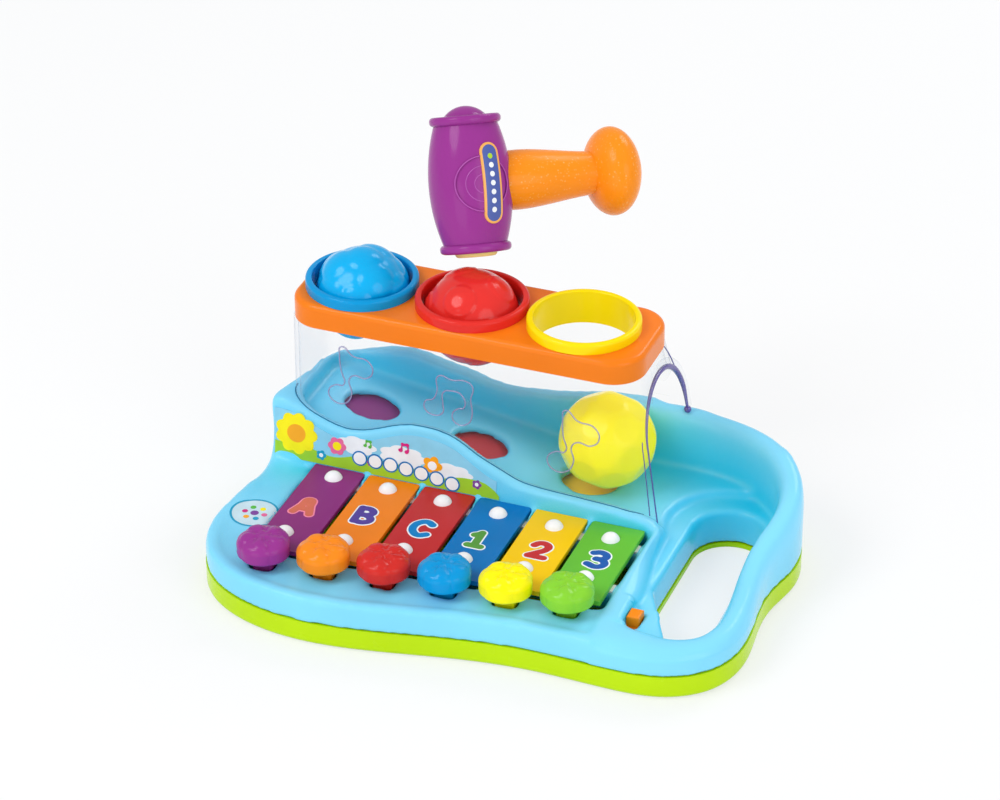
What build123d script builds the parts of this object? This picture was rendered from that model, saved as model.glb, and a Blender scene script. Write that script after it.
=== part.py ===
from build123d import *
import os
from math import atan, cos, degrees, radians, sin, sqrt

os.makedirs("parts", exist_ok=True)

# Driving dimensions, in millimetres
ball_radius = 24.5
ball_gap = 9.85            # free space between two neighbouring balls
bore_gap = 0.7             # room between a ball and its collar
collar_lip = 3.3           # width of a collar's flange
collar_height = 5.5        # flange above the deck
collar_wall = 1.6          # sleeve of a collar inside the deck
deck_side_margin = 1.0
deck_left_margin = 1.65
deck_right_margin = 8.15
deck_height = 12.5
deck_corner = 17.0
deck_wall = 2.5
deck_edge_radius = 3.0
deck_top_z = 115.0
ball_colours = ("blue", "red", "yellow")
ball_wall = 2.4
blue_ball_sink = 4.3
red_ball_sink = 6.6
yellow_ball_shift = 11.7
back_room = 42.5           # ball line to the back edge of the base
front_room = 148.0         # ball line to the front edge of the base
left_room = 12.5           # deck end to the left edge of the base
tray_room = 82.0           # deck end to the right edge of the base
base_wall = 2.6
floor_thickness = 2.4
seam_z = 12.0              # green shell below, blue shell above
bottom_edge_radius = 2.6
fit_gap = 0.3              # clearance between parts that only lie near each other
pin_gap = 0.05             # radial clearance of a shaft or screw in its hole
overrun = 1.0              # how far a cut runs past the face that it opens
outline_steps = 60         # points that carry an inner outline of the base

# Blue top of the base
floor_z = 24.5             # dished floor round the keys
lip_z = 26.0               # front lip of the base
lip_width = 6.0
tray_z = 25.0              # level on which a ball rolls out
lower_tray_drop = 4.0      # step down round the handle slot
stage_rise = 33.5          # tray level to the top of the stage
ramp_rise = 20.0           # climb of the ramp from the third ring to the first
top_wall = 2.5
ledge_width = 3.4          # blue ledge from the clear wall inwards
back_ledge_width = 1.0     # room from the back of the deck to the trough wall
panel_setback = 5.5        # foot of the sloping front panel before the deck
panel_lean = 3.6           # how far the panel leans back over the stage rise
rim_width = 12.5           # thick rolled rim round the tray
rim_top_z = 57.0
rim_skin = 3.4
ridge_rise = 4.5           # ridge between the bars and the tray, above the tray

# Clear housing
clear_wall = 2.0
seat_gap = 0.1             # between the wavy ledge and the clear edge
clear_corner = 15.0
clear_foot_corner = 5.0    # tighter corners at the foot of the flared right wall
clear_flare_right = 12.5
clear_flare_back = 8.5
arch_foot = 3.0            # narrow front leg of the exit arch
arch_top_gap = 9.5

# Handle slot
slot_width = 37.5
slot_back_room = 36.0
grip_width = 13.0
outline_waist_share = 0.482
slot_front_room = 36.75     # front of the base to the near end of the slot
slot_rim_wall = 2.6
step_width = 13.5          # lower level round the far end of the slot
groove_lean = 9.5
groove_near_y = -60.0

# Xylophone
bar_count = 6
bar_names = ("a", "b", "c", "1", "2", "3")
bars_left_room = 16.2
bar_pitch = 29.77
bar_width = 27.0
bar_thickness = 2.5
bar_length = 78.5
bar_length_step = 2.4
bar_top_z = 27.0
bar_corner = 0.8
back_pin_setback = 9.3
back_pin_step = 0.74
front_pin_setback = 64.2
front_pin_step = 2.9
front_pin_side_shift = -2.7    # front pins stand left of the bars' middles, less so to the right
front_pin_side_step = 0.5
pin_radius = 1.9
pin_head_radius = 4.6
pin_head_height = 3.4
pad_thickness = 1.0
pad_width = 6.0
rail_width = 8.0
well_bottom_z = 13.0
well_wall = 1.8
well_margin = 0.4
well_front_gap = 1.6
stub_length = 8.0
pin_depth = 7.5            # bar pin below the top of its rail

# Keys, their axle and springs
knob_radius = 13.25
knob_height = 8.8
knob_bottom_z = 30.0
knob_edge_radius = 2.4
knob_row_y = -71.0
knob_row_step = 2.82
knob_side_shift = -2.95
knob_side_step = 0.58
petal_radius = 3.6
petal_height = 0.8
petal_count = 5
axle_y = -40.0
axle_z = 8.5
axle_radius = 1.5
hub_radius = 3.8
hub_width = 9.0
arm_width = 7.0
arm_height = 3.0
stem_width = 10.0
stem_depth = 5.5
stem_swing_room = 2.6
striker_y = -17.0
striker_radius = 3.5
striker_gap = 2.3
post_width = 3.0
post_depth = 7.0
spring_radius = 3.0
spring_wire = 0.6
spring_turns = 3.0
spring_setback = 11.0      # springs stand this far in front of the axle

# Case screws
boss_radius = 4.2
screw_radius = 1.45
screw_head_radius = 2.9
screw_head_height = 1.8
screw_recess = 3.4
screw_tip_z = 17.5

# Chime plates under the ramp
chime_hole_radius = 14.5    # along the ramp
chime_hole_depth_radius = 11.8
chime_hole_shift = 3.2
chime_hole_back_shift = 2.7
chime_drop = 5.0
chime_collar_wall = 1.6    # collar under each floor hole, down to its plate
chime_thickness = 2.0
chime_corner = 2.5
chime_length = 34.0
chime_width = 48.0
chime_boss_radius = 2.6
chime_screw_spread = 20.0  # plate centre to each screw
chime_screw_radius = 1.2
chime_screw_head_radius = 2.4
chime_screw_head_height = 1.4
chime_screw_bite = 1.4

# Sliding catch beside the handle slot
catch_width = 6.4
catch_length = 8.0
catch_height = 3.2
catch_travel = 4.0
catch_flange = 1.6

# Labels
label_thickness = 0.3
round_label_radius = 10.8
round_label_y = -31.0
label_top_gap = 5.0
label_left_room = 7.0      # left end of the stage to the panel label
label_wave_points = 10

# Hammer
head_length = 68.0         # over both rims
head_hover = 4.85          # red ball to the pad of the head above it
head_handle_shift = 4.4
head_side_shift = -1.5
head_lean_shares = (-0.24, 0.39, 0.89)
handle_lean_shares = (0.76, 0.64, -0.08)
head_belly_radius = 20.8
head_neck_radius = 15.2
head_wall = 2.5
head_bore_radius = 9.0
head_rim_radius = 17.8
head_rim_thickness = 4.6
head_rim_round = 2.0
head_cap_height = 4.6
head_cap_radius = 10.2
head_pad_height = 2.0
head_pad_radius = 10.5
head_pad_round = 1.7
spigot_length = 4.0
handle_root_radius = 14.4
handle_neck_radius = 11.2
handle_neck_reach = 60.0   # head axis to the thinnest place
handle_knob_reach = 75.0   # head axis to the middle of the end knob
handle_knob_radius = 22.4
handle_knob_half = 13.5
handle_wall = 2.2
handle_spigot_radius = 8.0
plate_length = 40.0
plate_width = 10.2
plate_thickness = 0.7
plate_turn = 13.0          # degrees from the side of the head towards the handle
ring_relief = 0.5
ring_width = 0.9
relief_ring_radii = (5.0, 9.2, 14.0)

# Sizes worked out from them
ring_pitch = 2 * ball_radius + ball_gap
bore_radius = ball_radius + bore_gap
flange_radius = bore_radius + collar_lip
sleeve_radius = bore_radius + collar_wall
deck_length = 2 * (ring_pitch + flange_radius) + deck_left_margin + deck_right_margin
deck_depth = 2 * (flange_radius + deck_side_margin)
base_length = left_room + deck_length + tray_room
base_depth = front_room + back_room
slot_length = base_depth - slot_back_room - slot_front_room
deck_y = base_depth / 2 - back_room
deck_left = -base_length / 2 + left_room
deck_right = deck_left + deck_length
deck_front = deck_y - deck_depth / 2
deck_back = deck_y + deck_depth / 2
deck_bottom_z = deck_top_z - deck_height
ring_xs = [deck_left + deck_left_margin + flange_radius + index * ring_pitch for index in range(3)]
ramp_slope = ramp_rise / (2 * ring_pitch)
ramp_angle = degrees(atan(ramp_slope))
panel_y = deck_front - panel_setback
stage_left = -base_length / 2
stage_right = deck_right + clear_flare_right + overrun
stage_length = stage_right - stage_left
stage_top_z = tray_z + stage_rise
lower_tray_z = tray_z - lower_tray_drop
head_lift = ball_radius + head_hover + head_pad_height + pin_gap + head_length / 2
sky_z = deck_top_z           # above every cut of the base
trough_left = deck_left + ledge_width
trough_front = deck_front + ledge_width
trough_back = deck_back + back_ledge_width
bars_left = deck_left + bars_left_room
bars_right = bars_left + bar_count * bar_pitch
bar_xs = [bars_left + (index + 0.5) * bar_pitch for index in range(bar_count)]
bar_bottom_z = bar_top_z - bar_thickness
bar_gap = bar_pitch - bar_width
rail_top_z = bar_bottom_z - pad_thickness
back_pin_ys = [panel_y - back_pin_setback - index * back_pin_step for index in range(bar_count)]
front_pin_ys = [panel_y - front_pin_setback + index * front_pin_step for index in range(bar_count)]
bar_back_y = panel_y - fit_gap
bar_front_ys = [bar_back_y - bar_length + index * bar_length_step for index in range(bar_count)]
knob_xs = [x + knob_side_shift + index * knob_side_step for index, x in enumerate(bar_xs)]
front_pin_xs = [x + front_pin_side_shift + index * front_pin_side_step for index, x in enumerate(bar_xs)]
knob_ys = [knob_row_y + index * knob_row_step for index in range(bar_count)]
slot_x = base_length * outline_waist_share - grip_width - slot_width / 2
slot_y = base_depth / 2 - slot_back_room - slot_length / 2
slot_radius = slot_width / 2
slot_left = slot_x - slot_radius
slot_far_y = slot_y + slot_length / 2 - slot_radius
slot_near_y = slot_y - slot_length / 2 + slot_radius
catch_x = slot_left
catch_y = slot_near_y - catch_length
arm_bottom_z = axle_z - arm_height / 2
striker_top_z = bar_bottom_z - striker_gap

# Outline of the base, as shares of its length and depth
outline_shares = (
    (-0.4885, 0.12), (-0.487, 0.033), (-0.498, -0.125), (-0.4965, -0.266), (-0.448, -0.3975),
    (-0.3655, -0.471), (-0.247, -0.5), (-0.1255, -0.4815), (0.0035, -0.443), (0.147, -0.4185),
    (0.290, -0.424), (0.3905, -0.408), (0.459, -0.337), (0.489, -0.214), (0.482, -0.0565),
    (0.482, 0.0485), (0.498, 0.1745), (0.489, 0.2795), (0.448, 0.382), (0.376, 0.463),
    (0.272, 0.5), (0.165, 0.497), (0.0394, 0.484), (-0.1756, 0.479), (-0.36, 0.479),
    (-0.429, 0.444), (-0.4575, 0.352), (-0.4635, 0.262), (-0.4785, 0.196),
)
outline_points = [(x_share * base_length, y_share * base_depth) for x_share, y_share in outline_shares]

# Waves along the stage: shares of the stage length, and of its rise above the tray
front_wave_shares = (
    (0.0, 1.0), (0.067, 1.0), (0.14, 0.83), (0.219, 0.69), (0.30, 0.812), (0.371, 0.973),
    (0.438, 0.988), (0.495, 0.896), (0.552, 0.675), (0.605, 0.516), (0.654, 0.379),
    (0.705, 0.328), (0.855, 0.278), (1.0, 0.14),
)
back_wave_shares = (
    (0.0, 1.0), (0.067, 0.97), (0.11, 0.92), (0.176, 0.985), (0.229, 1.045), (0.286, 1.045),
    (0.338, 0.97), (0.39, 0.91), (0.443, 0.836), (0.49, 0.776), (0.571, 0.776), (0.648, 0.815),
    (0.748, 0.925), (0.876, 0.955), (1.0, 0.955),
)
# Rim round the tray: shares of the base depth, and of the rim's rise above the lip
rim_shares = (
    (-0.55, 0.0), (-0.32, 0.016), (-0.2, 0.065), (-0.1, 0.16), (0.0, 0.32), (0.105, 0.516),
    (0.21, 0.71), (0.315, 0.87), (0.42, 0.98), (0.55, 1.0),
)
# Bosses for the case screws, as shares of the base length and depth
boss_shares = (
    (-0.452, -0.20), (-0.27, -0.458), (0.085, -0.385), (0.375, -0.365),
    (0.36, 0.40), (-0.43, 0.385), (-0.045, 0.385),
)
boss_points = [(x_share * base_length, y_share * base_depth) for x_share, y_share in boss_shares]


def ramp_height(x):
    # the ramp falls evenly to the third ring, then runs level
    return tray_z + ramp_slope * max(ring_xs[2] - x, 0)


def outline_block(inset, low_z, high_z):
    # block with the plan of the base, drawn in by an even wall
    edge = Edge.make_spline([Vector(*point) for point in outline_points], periodic=True)
    points = outline_points
    if inset:
        places = [step / outline_steps for step in range(outline_steps)]
        points = [edge @ place + (edge % place).rotate(Axis.Z, 90) * inset for place in places]
    with BuildPart() as block:
        with BuildSketch(Plane.XY.offset(low_z)):
            with BuildLine():
                Spline(*points, periodic=True)
            make_face()
        extrude(amount=high_z - low_z)
    return block.part


def box_between(low, high):
    # block between two opposite corners
    with BuildPart() as block:
        with Locations([(Vector(*low) + Vector(*high)) / 2]):
            Box(*[top - bottom for bottom, top in zip(low, high)])
    return block.part


def above_wave(wave_shares, front_y, back_y, lift):
    # everything above a wave that runs along the stage
    points = [(stage_left + x_share * stage_length, tray_z + z_share * stage_rise + lift)
              for x_share, z_share in wave_shares]
    with BuildPart() as sky:
        with BuildSketch(Plane.XZ.offset(-front_y)):
            with BuildLine():
                crest = Spline(*points)
                Polyline(crest @ 1, (stage_right, sky_z), (stage_left, sky_z), crest @ 0)
            make_face()
        extrude(amount=front_y - back_y)
    return sky.part


def side_prism(points, low_x, high_x):
    # outline in the side view, run along the length
    with BuildPart() as prism:
        with BuildSketch(Plane.YZ.offset(low_x)):
            with BuildLine():
                Polyline(*points, close=True)
            make_face()
        extrude(amount=high_x - low_x)
    return prism.part


def above_rim(low_x, drop):
    # everything above the rising rim on the right
    points = [(y_share * base_depth, lip_z + z_share * (rim_top_z - lip_z) - drop)
              for y_share, z_share in rim_shares]
    with BuildPart() as sky:
        with BuildSketch(Plane.YZ.offset(low_x)):
            with BuildLine():
                crest = Spline(*points)
                Polyline(crest @ 1, (points[-1][0], sky_z), (points[0][0], sky_z), crest @ 0)
            make_face()
        extrude(amount=base_length / 2 + overrun - low_x)
    return sky.part


def slot_block(margin, low_z, high_z):
    # handle slot with one corner cut off, grown by a margin
    corner = (slot_left, slot_near_y + slot_radius)
    with BuildPart() as block:
        with BuildSketch(Plane.XY.offset(low_z)):
            with Locations((slot_x, slot_y)):
                SlotOverall(slot_length, slot_width, rotation=90)
            with BuildLine():
                Polyline(corner, (corner[0], slot_near_y - slot_radius),
                         (slot_x, slot_near_y - slot_radius), corner, close=False)
            make_face(mode=Mode.SUBTRACT)
            if margin:
                offset(amount=margin, mode=Mode.REPLACE)
        extrude(amount=high_z - low_z)
    return block.part


def well_block(margin, low_z, high_z):
    # opening under the bars, with a slanting front edge
    left = bars_left - well_margin - margin
    right = bars_right + well_margin + margin
    front_gap = well_front_gap + margin
    with BuildPart() as block:
        with BuildSketch(Plane.XY.offset(low_z)):
            with BuildLine():
                Polyline((left, bar_front_ys[0] - front_gap), (right, bar_front_ys[-1] - front_gap),
                         (right, panel_y + margin), (left, panel_y + margin), close=True)
            make_face()
        extrude(amount=high_z - low_z)
    return block.part


def ramp_plane(x, drop):
    # plane on the ramp under a ring, moved down by a drop
    angle = radians(ramp_angle) if x < ring_xs[2] else 0
    normal = (sin(angle), 0, cos(angle))
    plane = Plane(origin=(x, deck_y, ramp_height(x)), x_dir=(cos(angle), 0, -sin(angle)), z_dir=normal)
    return plane.offset(-drop)


# Cavity of the blue top, with the walls and bosses that stay in it
low_tray_left = slot_x - slot_radius - step_width
with BuildPart() as front_cavity:
    add(outline_block(base_wall, 0, floor_z - top_wall))
    add(box_between((stage_left, panel_y + well_wall, -overrun),
                    (stage_right + rim_width, base_depth, sky_z)), mode=Mode.SUBTRACT)
    add(box_between((low_tray_left - well_wall, -base_depth, lower_tray_z - top_wall),
                    (base_length, base_depth, sky_z)), mode=Mode.SUBTRACT)
    add(well_block(well_wall, well_bottom_z - overrun, floor_z), mode=Mode.SUBTRACT)
    add(slot_block(slot_rim_wall, -overrun, sky_z), mode=Mode.SUBTRACT)

stage_cavity_front = panel_y + panel_lean + well_wall
with BuildPart() as stage_cavity:
    with BuildSketch(Plane.XZ.offset(-stage_cavity_front)):
        with BuildLine():
            Polyline((stage_left, 0), (stage_left, ramp_height(trough_left) - top_wall),
                     (trough_left, ramp_height(trough_left) - top_wall),
                     (ring_xs[2], tray_z - top_wall), (slot_left - slot_rim_wall, tray_z - top_wall),
                     (slot_left - slot_rim_wall, 0), close=True)
        make_face()
    extrude(amount=stage_cavity_front - base_depth)
    add(outline_block(base_wall, -overrun, sky_z), mode=Mode.INTERSECT)
    add(box_between((low_tray_left - well_wall, -base_depth, lower_tray_z - top_wall),
                    (base_length, base_depth, sky_z)), mode=Mode.SUBTRACT)

with BuildPart() as rim_cavity:
    add(outline_block(base_wall, 0, sky_z))
    add(outline_block(rim_width - base_wall, -overrun, sky_z + overrun), mode=Mode.SUBTRACT)
    add(above_rim(stage_right - overrun, rim_skin), mode=Mode.SUBTRACT)
    add(box_between((-base_length, -base_depth, -overrun),
                    (stage_right + rim_width, base_depth, sky_z + overrun)), mode=Mode.SUBTRACT)

with BuildPart() as bosses:
    with BuildSketch(Plane.XY.offset(seam_z)):
        with Locations(*boss_points):
            Circle(boss_radius)
    extrude(amount=sky_z - seam_z)

# Space that the lever slots, stem holes and openings of the blue top take away
with BuildPart() as stem_holes:
    with BuildSketch(Plane.XY.offset(seam_z)):
        for x, y in zip(knob_xs, knob_ys):
            with Locations((x, y - (stem_swing_room - fit_gap) / 2)):
                Rectangle(stem_width + 2 * fit_gap + overrun, stem_depth + stem_swing_room + 2 * fit_gap)
    extrude(amount=sky_z - seam_z)

# Trough under the rings, cut down to the sloping ramp
with BuildPart() as trough:
    with BuildSketch(Plane.XZ.offset(-trough_front)):
        with BuildLine():
            Polyline((trough_left, ramp_height(trough_left)), (ring_xs[2], tray_z),
                     (stage_right + overrun, tray_z), (stage_right + overrun, sky_z),
                     (trough_left, sky_z), close=True)
        make_face()
    extrude(amount=trough_front - trough_back)
    left_edges = trough.edges().filter_by(Axis.Z).group_by(Axis.X)[0]
    fillet(left_edges, clear_corner - clear_wall)

# Tray on the right, down to its two levels
with BuildPart() as tray:
    add(side_prism([(-base_depth, lip_z), (-base_depth / 3, lip_z),
                    (deck_front - ridge_rise, tray_z + ridge_rise), (deck_front + ridge_rise, tray_z),
                    (base_depth, tray_z), (base_depth, sky_z), (-base_depth, sky_z)],
                   stage_right - overrun, base_length / 2))
    add(outline_block(rim_width, 0, sky_z + overrun), mode=Mode.INTERSECT)

groove_left = bars_right + well_wall + ledge_width
with BuildPart() as lower_tray:
    with BuildSketch(Plane.XY.offset(lower_tray_z)):
        with Locations((slot_x, slot_far_y)):
            Circle(slot_radius + step_width)
        with BuildLine():
            Polyline((groove_left, slot_far_y), (groove_left + slot_rim_wall, slot_y),
                     (groove_left + groove_lean, slot_near_y), (groove_left + groove_lean, groove_near_y),
                     (slot_x, groove_near_y), (slot_x, slot_far_y), close=True)
        make_face()
        with Locations((slot_x, slot_y)):
            SlotOverall(slot_length + 2 * ledge_width, slot_width + 2 * ledge_width, rotation=90)
    extrude(amount=sky_z - seam_z)
    add(outline_block(rim_width, 0, sky_z + overrun), mode=Mode.INTERSECT)

# Shallow dish round the keys, inside the lip
with BuildPart() as dish:
    add(outline_block(lip_width, floor_z, lip_z + overrun))
    add(box_between((-base_length, panel_y, -overrun), (base_length, base_depth, sky_z)), mode=Mode.SUBTRACT)
    add(box_between((bars_right + well_wall, -base_depth, -overrun), (base_length, base_depth, sky_z)),
        mode=Mode.SUBTRACT)

# Rails that carry the bars: one level with the panel, one slanting with the bar ends
pin_points = list(zip(bar_xs, back_pin_ys)) + list(zip(front_pin_xs, front_pin_ys))
with BuildPart() as rails:
    with BuildSketch(Plane.XY.offset(well_bottom_z)):
        for ys in (back_pin_ys, front_pin_ys):
            with BuildLine():
                Polyline((bars_left - well_wall, ys[0] - rail_width / 2),
                         (bars_right + well_wall, ys[-1] - rail_width / 2),
                         (bars_right + well_wall, ys[-1] + rail_width / 2),
                         (bars_left - well_wall, ys[0] + rail_width / 2), close=True)
            make_face()
    extrude(amount=rail_top_z - well_bottom_z)

# Thin stubs between the bars at the foot of the panel
with BuildPart() as stubs:
    for index in range(1, bar_count):
        x = bars_left + index * bar_pitch
        half = bar_gap / 2 - fit_gap
        add(box_between((x - half, panel_y - stub_length, well_bottom_z),
                        (x + half, panel_y + overrun, bar_top_z)))

chime_xs = [x + chime_hole_shift for x in ring_xs]

# Blue top of the base
with BuildPart() as base_top_shell:
    add(outline_block(0, seam_z, sky_z))
    add(side_prism([(-base_depth, lip_z), (panel_y, lip_z), (panel_y + panel_lean, stage_top_z),
                    (panel_y + 2 * panel_lean, sky_z + overrun), (-base_depth, sky_z + overrun)],
                   stage_left - overrun, stage_right), mode=Mode.SUBTRACT)
    add(above_rim(stage_right, 0), mode=Mode.SUBTRACT)
    add(above_wave(front_wave_shares, panel_y - overrun, deck_y, 0), mode=Mode.SUBTRACT)
    add(above_wave(back_wave_shares, deck_y, base_depth, 0), mode=Mode.SUBTRACT)
    add(tray.part, mode=Mode.SUBTRACT)
    add(lower_tray.part, mode=Mode.SUBTRACT)
    add(trough.part, mode=Mode.SUBTRACT)
    add(slot_block(0, 0, sky_z), mode=Mode.SUBTRACT)
    # shallow dish round the keys
    add(dish.part, mode=Mode.SUBTRACT)
    # hollow underside
    for cavity in (front_cavity, stage_cavity, rim_cavity):
        add(cavity.part - bosses.part, mode=Mode.SUBTRACT)
    # sleeve of the handle slot, down to the green floor
    add(slot_block(slot_rim_wall, floor_thickness + pin_gap, seam_z) - slot_block(0, 0, sky_z))
    # opening under the bars, with its two rails and the stubs between the bars
    add(well_block(0, seam_z - overrun, lip_z + overrun), mode=Mode.SUBTRACT)
    add(rails.part)
    add(stubs.part)
    add(stem_holes.part, mode=Mode.SUBTRACT)
    # floor holes over the chimes, with their collars and the bosses that carry the plates
    for x in chime_xs:
        with BuildSketch(ramp_plane(x, chime_drop - fit_gap)):
            with Locations((0, chime_hole_back_shift)):
                Ellipse(chime_hole_radius + chime_collar_wall, chime_hole_depth_radius + chime_collar_wall)
        extrude(amount=chime_drop - top_wall)
        with BuildSketch(ramp_plane(x, chime_drop)):
            with Locations((0, chime_hole_back_shift)):
                Ellipse(chime_hole_radius, chime_hole_depth_radius)
        extrude(amount=chime_drop + 2 * overrun, mode=Mode.SUBTRACT)
        with Locations(ramp_plane(x, chime_drop)):
            for side in (-1, 1):
                with Locations((0, side * chime_screw_spread)):
                    Cylinder(chime_boss_radius, chime_drop - top_wall + fit_gap,
                             align=(Align.CENTER, Align.CENTER, Align.MIN))
                    Cylinder(chime_screw_radius + pin_gap, chime_drop - top_wall + chime_screw_bite,
                             align=(Align.CENTER, Align.CENTER, Align.MIN), mode=Mode.SUBTRACT)
    # pilot holes for the case screws and the bar pins
    with Locations(*[(x, y, seam_z) for x, y in boss_points]):
        Cylinder(screw_radius + pin_gap, screw_tip_z + fit_gap - seam_z,
                 align=(Align.CENTER, Align.CENTER, Align.MIN), mode=Mode.SUBTRACT)
    with Locations(*[(x, y, rail_top_z) for x, y in pin_points]):
        Cylinder(pin_radius + pin_gap, pin_depth + fit_gap,
                 align=(Align.CENTER, Align.CENTER, Align.MAX), mode=Mode.SUBTRACT)
    # slot in which the catch slides
    catch_room = catch_length / 2 + fit_gap
    add(box_between((catch_x - catch_width / 2 - fit_gap, catch_y - catch_travel - catch_room, seam_z),
                    (catch_x + catch_width / 2 + fit_gap, catch_y + catch_room, tray_z)), mode=Mode.SUBTRACT)
base_top_shell.part.label = "base_top_shell"
export_step(base_top_shell.part, "parts/base_top_shell.step")
# Green bottom of the base
with BuildPart() as base_bottom_shell:
    add(outline_block(0, 0, seam_z))
    fillet(base_bottom_shell.faces().sort_by(Axis.Z)[0].edges(), bottom_edge_radius)
    add(outline_block(base_wall, floor_thickness, seam_z + overrun), mode=Mode.SUBTRACT)
    add(slot_block(0, -overrun, sky_z), mode=Mode.SUBTRACT)
    with Locations(*[(x, y, 0) for x, y in boss_points]):
        Cylinder(boss_radius + base_wall / 2, seam_z, align=(Align.CENTER, Align.CENTER, Align.MIN))
        Cylinder(screw_radius + fit_gap, seam_z, align=(Align.CENTER, Align.CENTER, Align.MIN),
                 mode=Mode.SUBTRACT)
        Cylinder(screw_head_radius + fit_gap, screw_recess, align=(Align.CENTER, Align.CENTER, Align.MIN),
                 mode=Mode.SUBTRACT)
    # posts that carry the axle of the keys
    for index in range(bar_count + 1):
        with Locations((bars_left + index * bar_pitch, axle_y, 0)):
            Box(post_width, post_depth, axle_z + axle_radius + post_width / 2,
                align=(Align.CENTER, Align.CENTER, Align.MIN))
    with BuildSketch(Plane.YZ.offset(bars_left - post_width)):
        with Locations((axle_y, axle_z)):
            Circle(axle_radius + pin_gap)
    extrude(amount=bar_count * bar_pitch + 2 * post_width, mode=Mode.SUBTRACT)
base_bottom_shell.part.label = "base_bottom_shell"
export_step(base_bottom_shell.part, "parts/base_bottom_shell.step")

# Screws that hold the two shells together
with BuildPart() as case_screws:
    with Locations(*[(x, y, screw_recess) for x, y in boss_points]):
        Cylinder(screw_head_radius, screw_head_height, align=(Align.CENTER, Align.CENTER, Align.MAX))
        Cylinder(screw_radius, screw_tip_z - screw_recess, align=(Align.CENTER, Align.CENTER, Align.MIN))
case_screws.part.label = "case_screws"
export_step(case_screws.part, "parts/case_screws.step")


def clear_block(inset, low_z, high_z):
    # the clear housing's outer form, drawn in by an even wall
    width = deck_length - 2 * inset
    depth = deck_depth - 2 * inset
    corner = clear_corner - inset
    foot_corner = clear_foot_corner - inset
    centre_x = (deck_left + deck_right) / 2
    drop_share = (deck_bottom_z - low_z) / (deck_bottom_z - tray_z)
    flare_x = clear_flare_right * drop_share
    flare_y = clear_flare_back * drop_share
    with BuildPart() as block:
        with BuildSketch(Plane.XY.offset(high_z)) as top:
            with Locations((centre_x, deck_y)):
                Rectangle(width, depth)
            fillet(top.vertices(), corner)
        with BuildSketch(Plane.XY.offset(low_z)) as foot:
            with Locations((centre_x + flare_x / 2, deck_y + flare_y / 2)):
                Rectangle(width + flare_x, depth + flare_y)
            fillet(foot.vertices().group_by(Axis.X)[0], corner)
            fillet(foot.vertices().group_by(Axis.X)[-1], foot_corner)
        loft()
    return block.part


# Clear housing round the ramp, with its bottom edge on the wavy ledge
arch_front_y = trough_front
arch_back_y = deck_back + clear_flare_back / 2
arch_top_z = deck_bottom_z - arch_top_gap
arch_spring_z = arch_top_z - (arch_back_y - arch_front_y) / 2
with BuildPart() as clear_housing:
    add(clear_block(0, tray_z, deck_bottom_z))
    add(clear_block(clear_wall, tray_z, deck_bottom_z), mode=Mode.SUBTRACT)
    add(above_wave(front_wave_shares, 0, deck_y, seat_gap)
        + above_wave(back_wave_shares, deck_y, base_depth, seat_gap), mode=Mode.INTERSECT)
    with BuildSketch(Plane.YZ.offset(ring_xs[2] + bore_radius)):
        with BuildLine():
            left_leg = Line((arch_front_y, tray_z), (arch_front_y + arch_foot, arch_spring_z))
            crown = ThreePointArc(left_leg @ 1, ((arch_front_y + arch_back_y + arch_foot) / 2, arch_top_z),
                                  (arch_back_y, arch_spring_z))
            Polyline(crown @ 1, (base_depth, tray_z), left_leg @ 0)
        make_face()
    extrude(amount=base_length, mode=Mode.SUBTRACT)
clear_housing.part.label = "clear_housing"
export_step(clear_housing.part, "parts/clear_housing.step")

# Deck that carries the three collars
with BuildPart() as deck:
    with BuildSketch(Plane.XY.offset(deck_bottom_z)):
        with Locations(((deck_left + deck_right) / 2, deck_y)):
            RectangleRounded(deck_length, deck_depth, deck_corner)
    extrude(amount=deck_height)
    fillet(deck.faces().sort_by(Axis.Z)[-1].edges(), deck_edge_radius)
    with BuildSketch(Plane.XY.offset(deck_bottom_z)):
        with Locations(((deck_left + deck_right) / 2, deck_y)):
            RectangleRounded(deck_length - 2 * deck_wall, deck_depth - 2 * deck_wall, deck_corner - deck_wall)
        with Locations(*[(x, deck_y) for x in ring_xs]):
            Circle(sleeve_radius + pin_gap + collar_wall, mode=Mode.SUBTRACT)
    extrude(amount=deck_height - deck_wall, mode=Mode.SUBTRACT)
    with Locations(*[(x, deck_y, deck_bottom_z) for x in ring_xs]):
        Cylinder(sleeve_radius + pin_gap, deck_height, align=(Align.CENTER, Align.CENTER, Align.MIN),
                 mode=Mode.SUBTRACT)
deck.part.label = "deck"
export_step(deck.part, "parts/deck.step")

# Collars that hold the balls until they are hit
for colour, x in zip(ball_colours, ring_xs):
    with BuildPart(Plane((x, deck_y, deck_top_z))) as collar:
        Cylinder(flange_radius, collar_height, align=(Align.CENTER, Align.CENTER, Align.MIN))
        Cylinder(sleeve_radius, deck_height, align=(Align.CENTER, Align.CENTER, Align.MAX))
        fillet(collar.edges().filter_by(GeomType.CIRCLE).sort_by(Axis.Z)[-1], collar_lip / 2)
        Cylinder(bore_radius, 3 * deck_height, mode=Mode.SUBTRACT)
        fillet(collar.edges().filter_by(GeomType.CIRCLE).sort_by(Axis.Z)[-1], collar_lip / 4)
    collar.part.label = "collar_" + colour
    export_step(collar.part, "parts/collar_" + colour + ".step")


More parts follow.
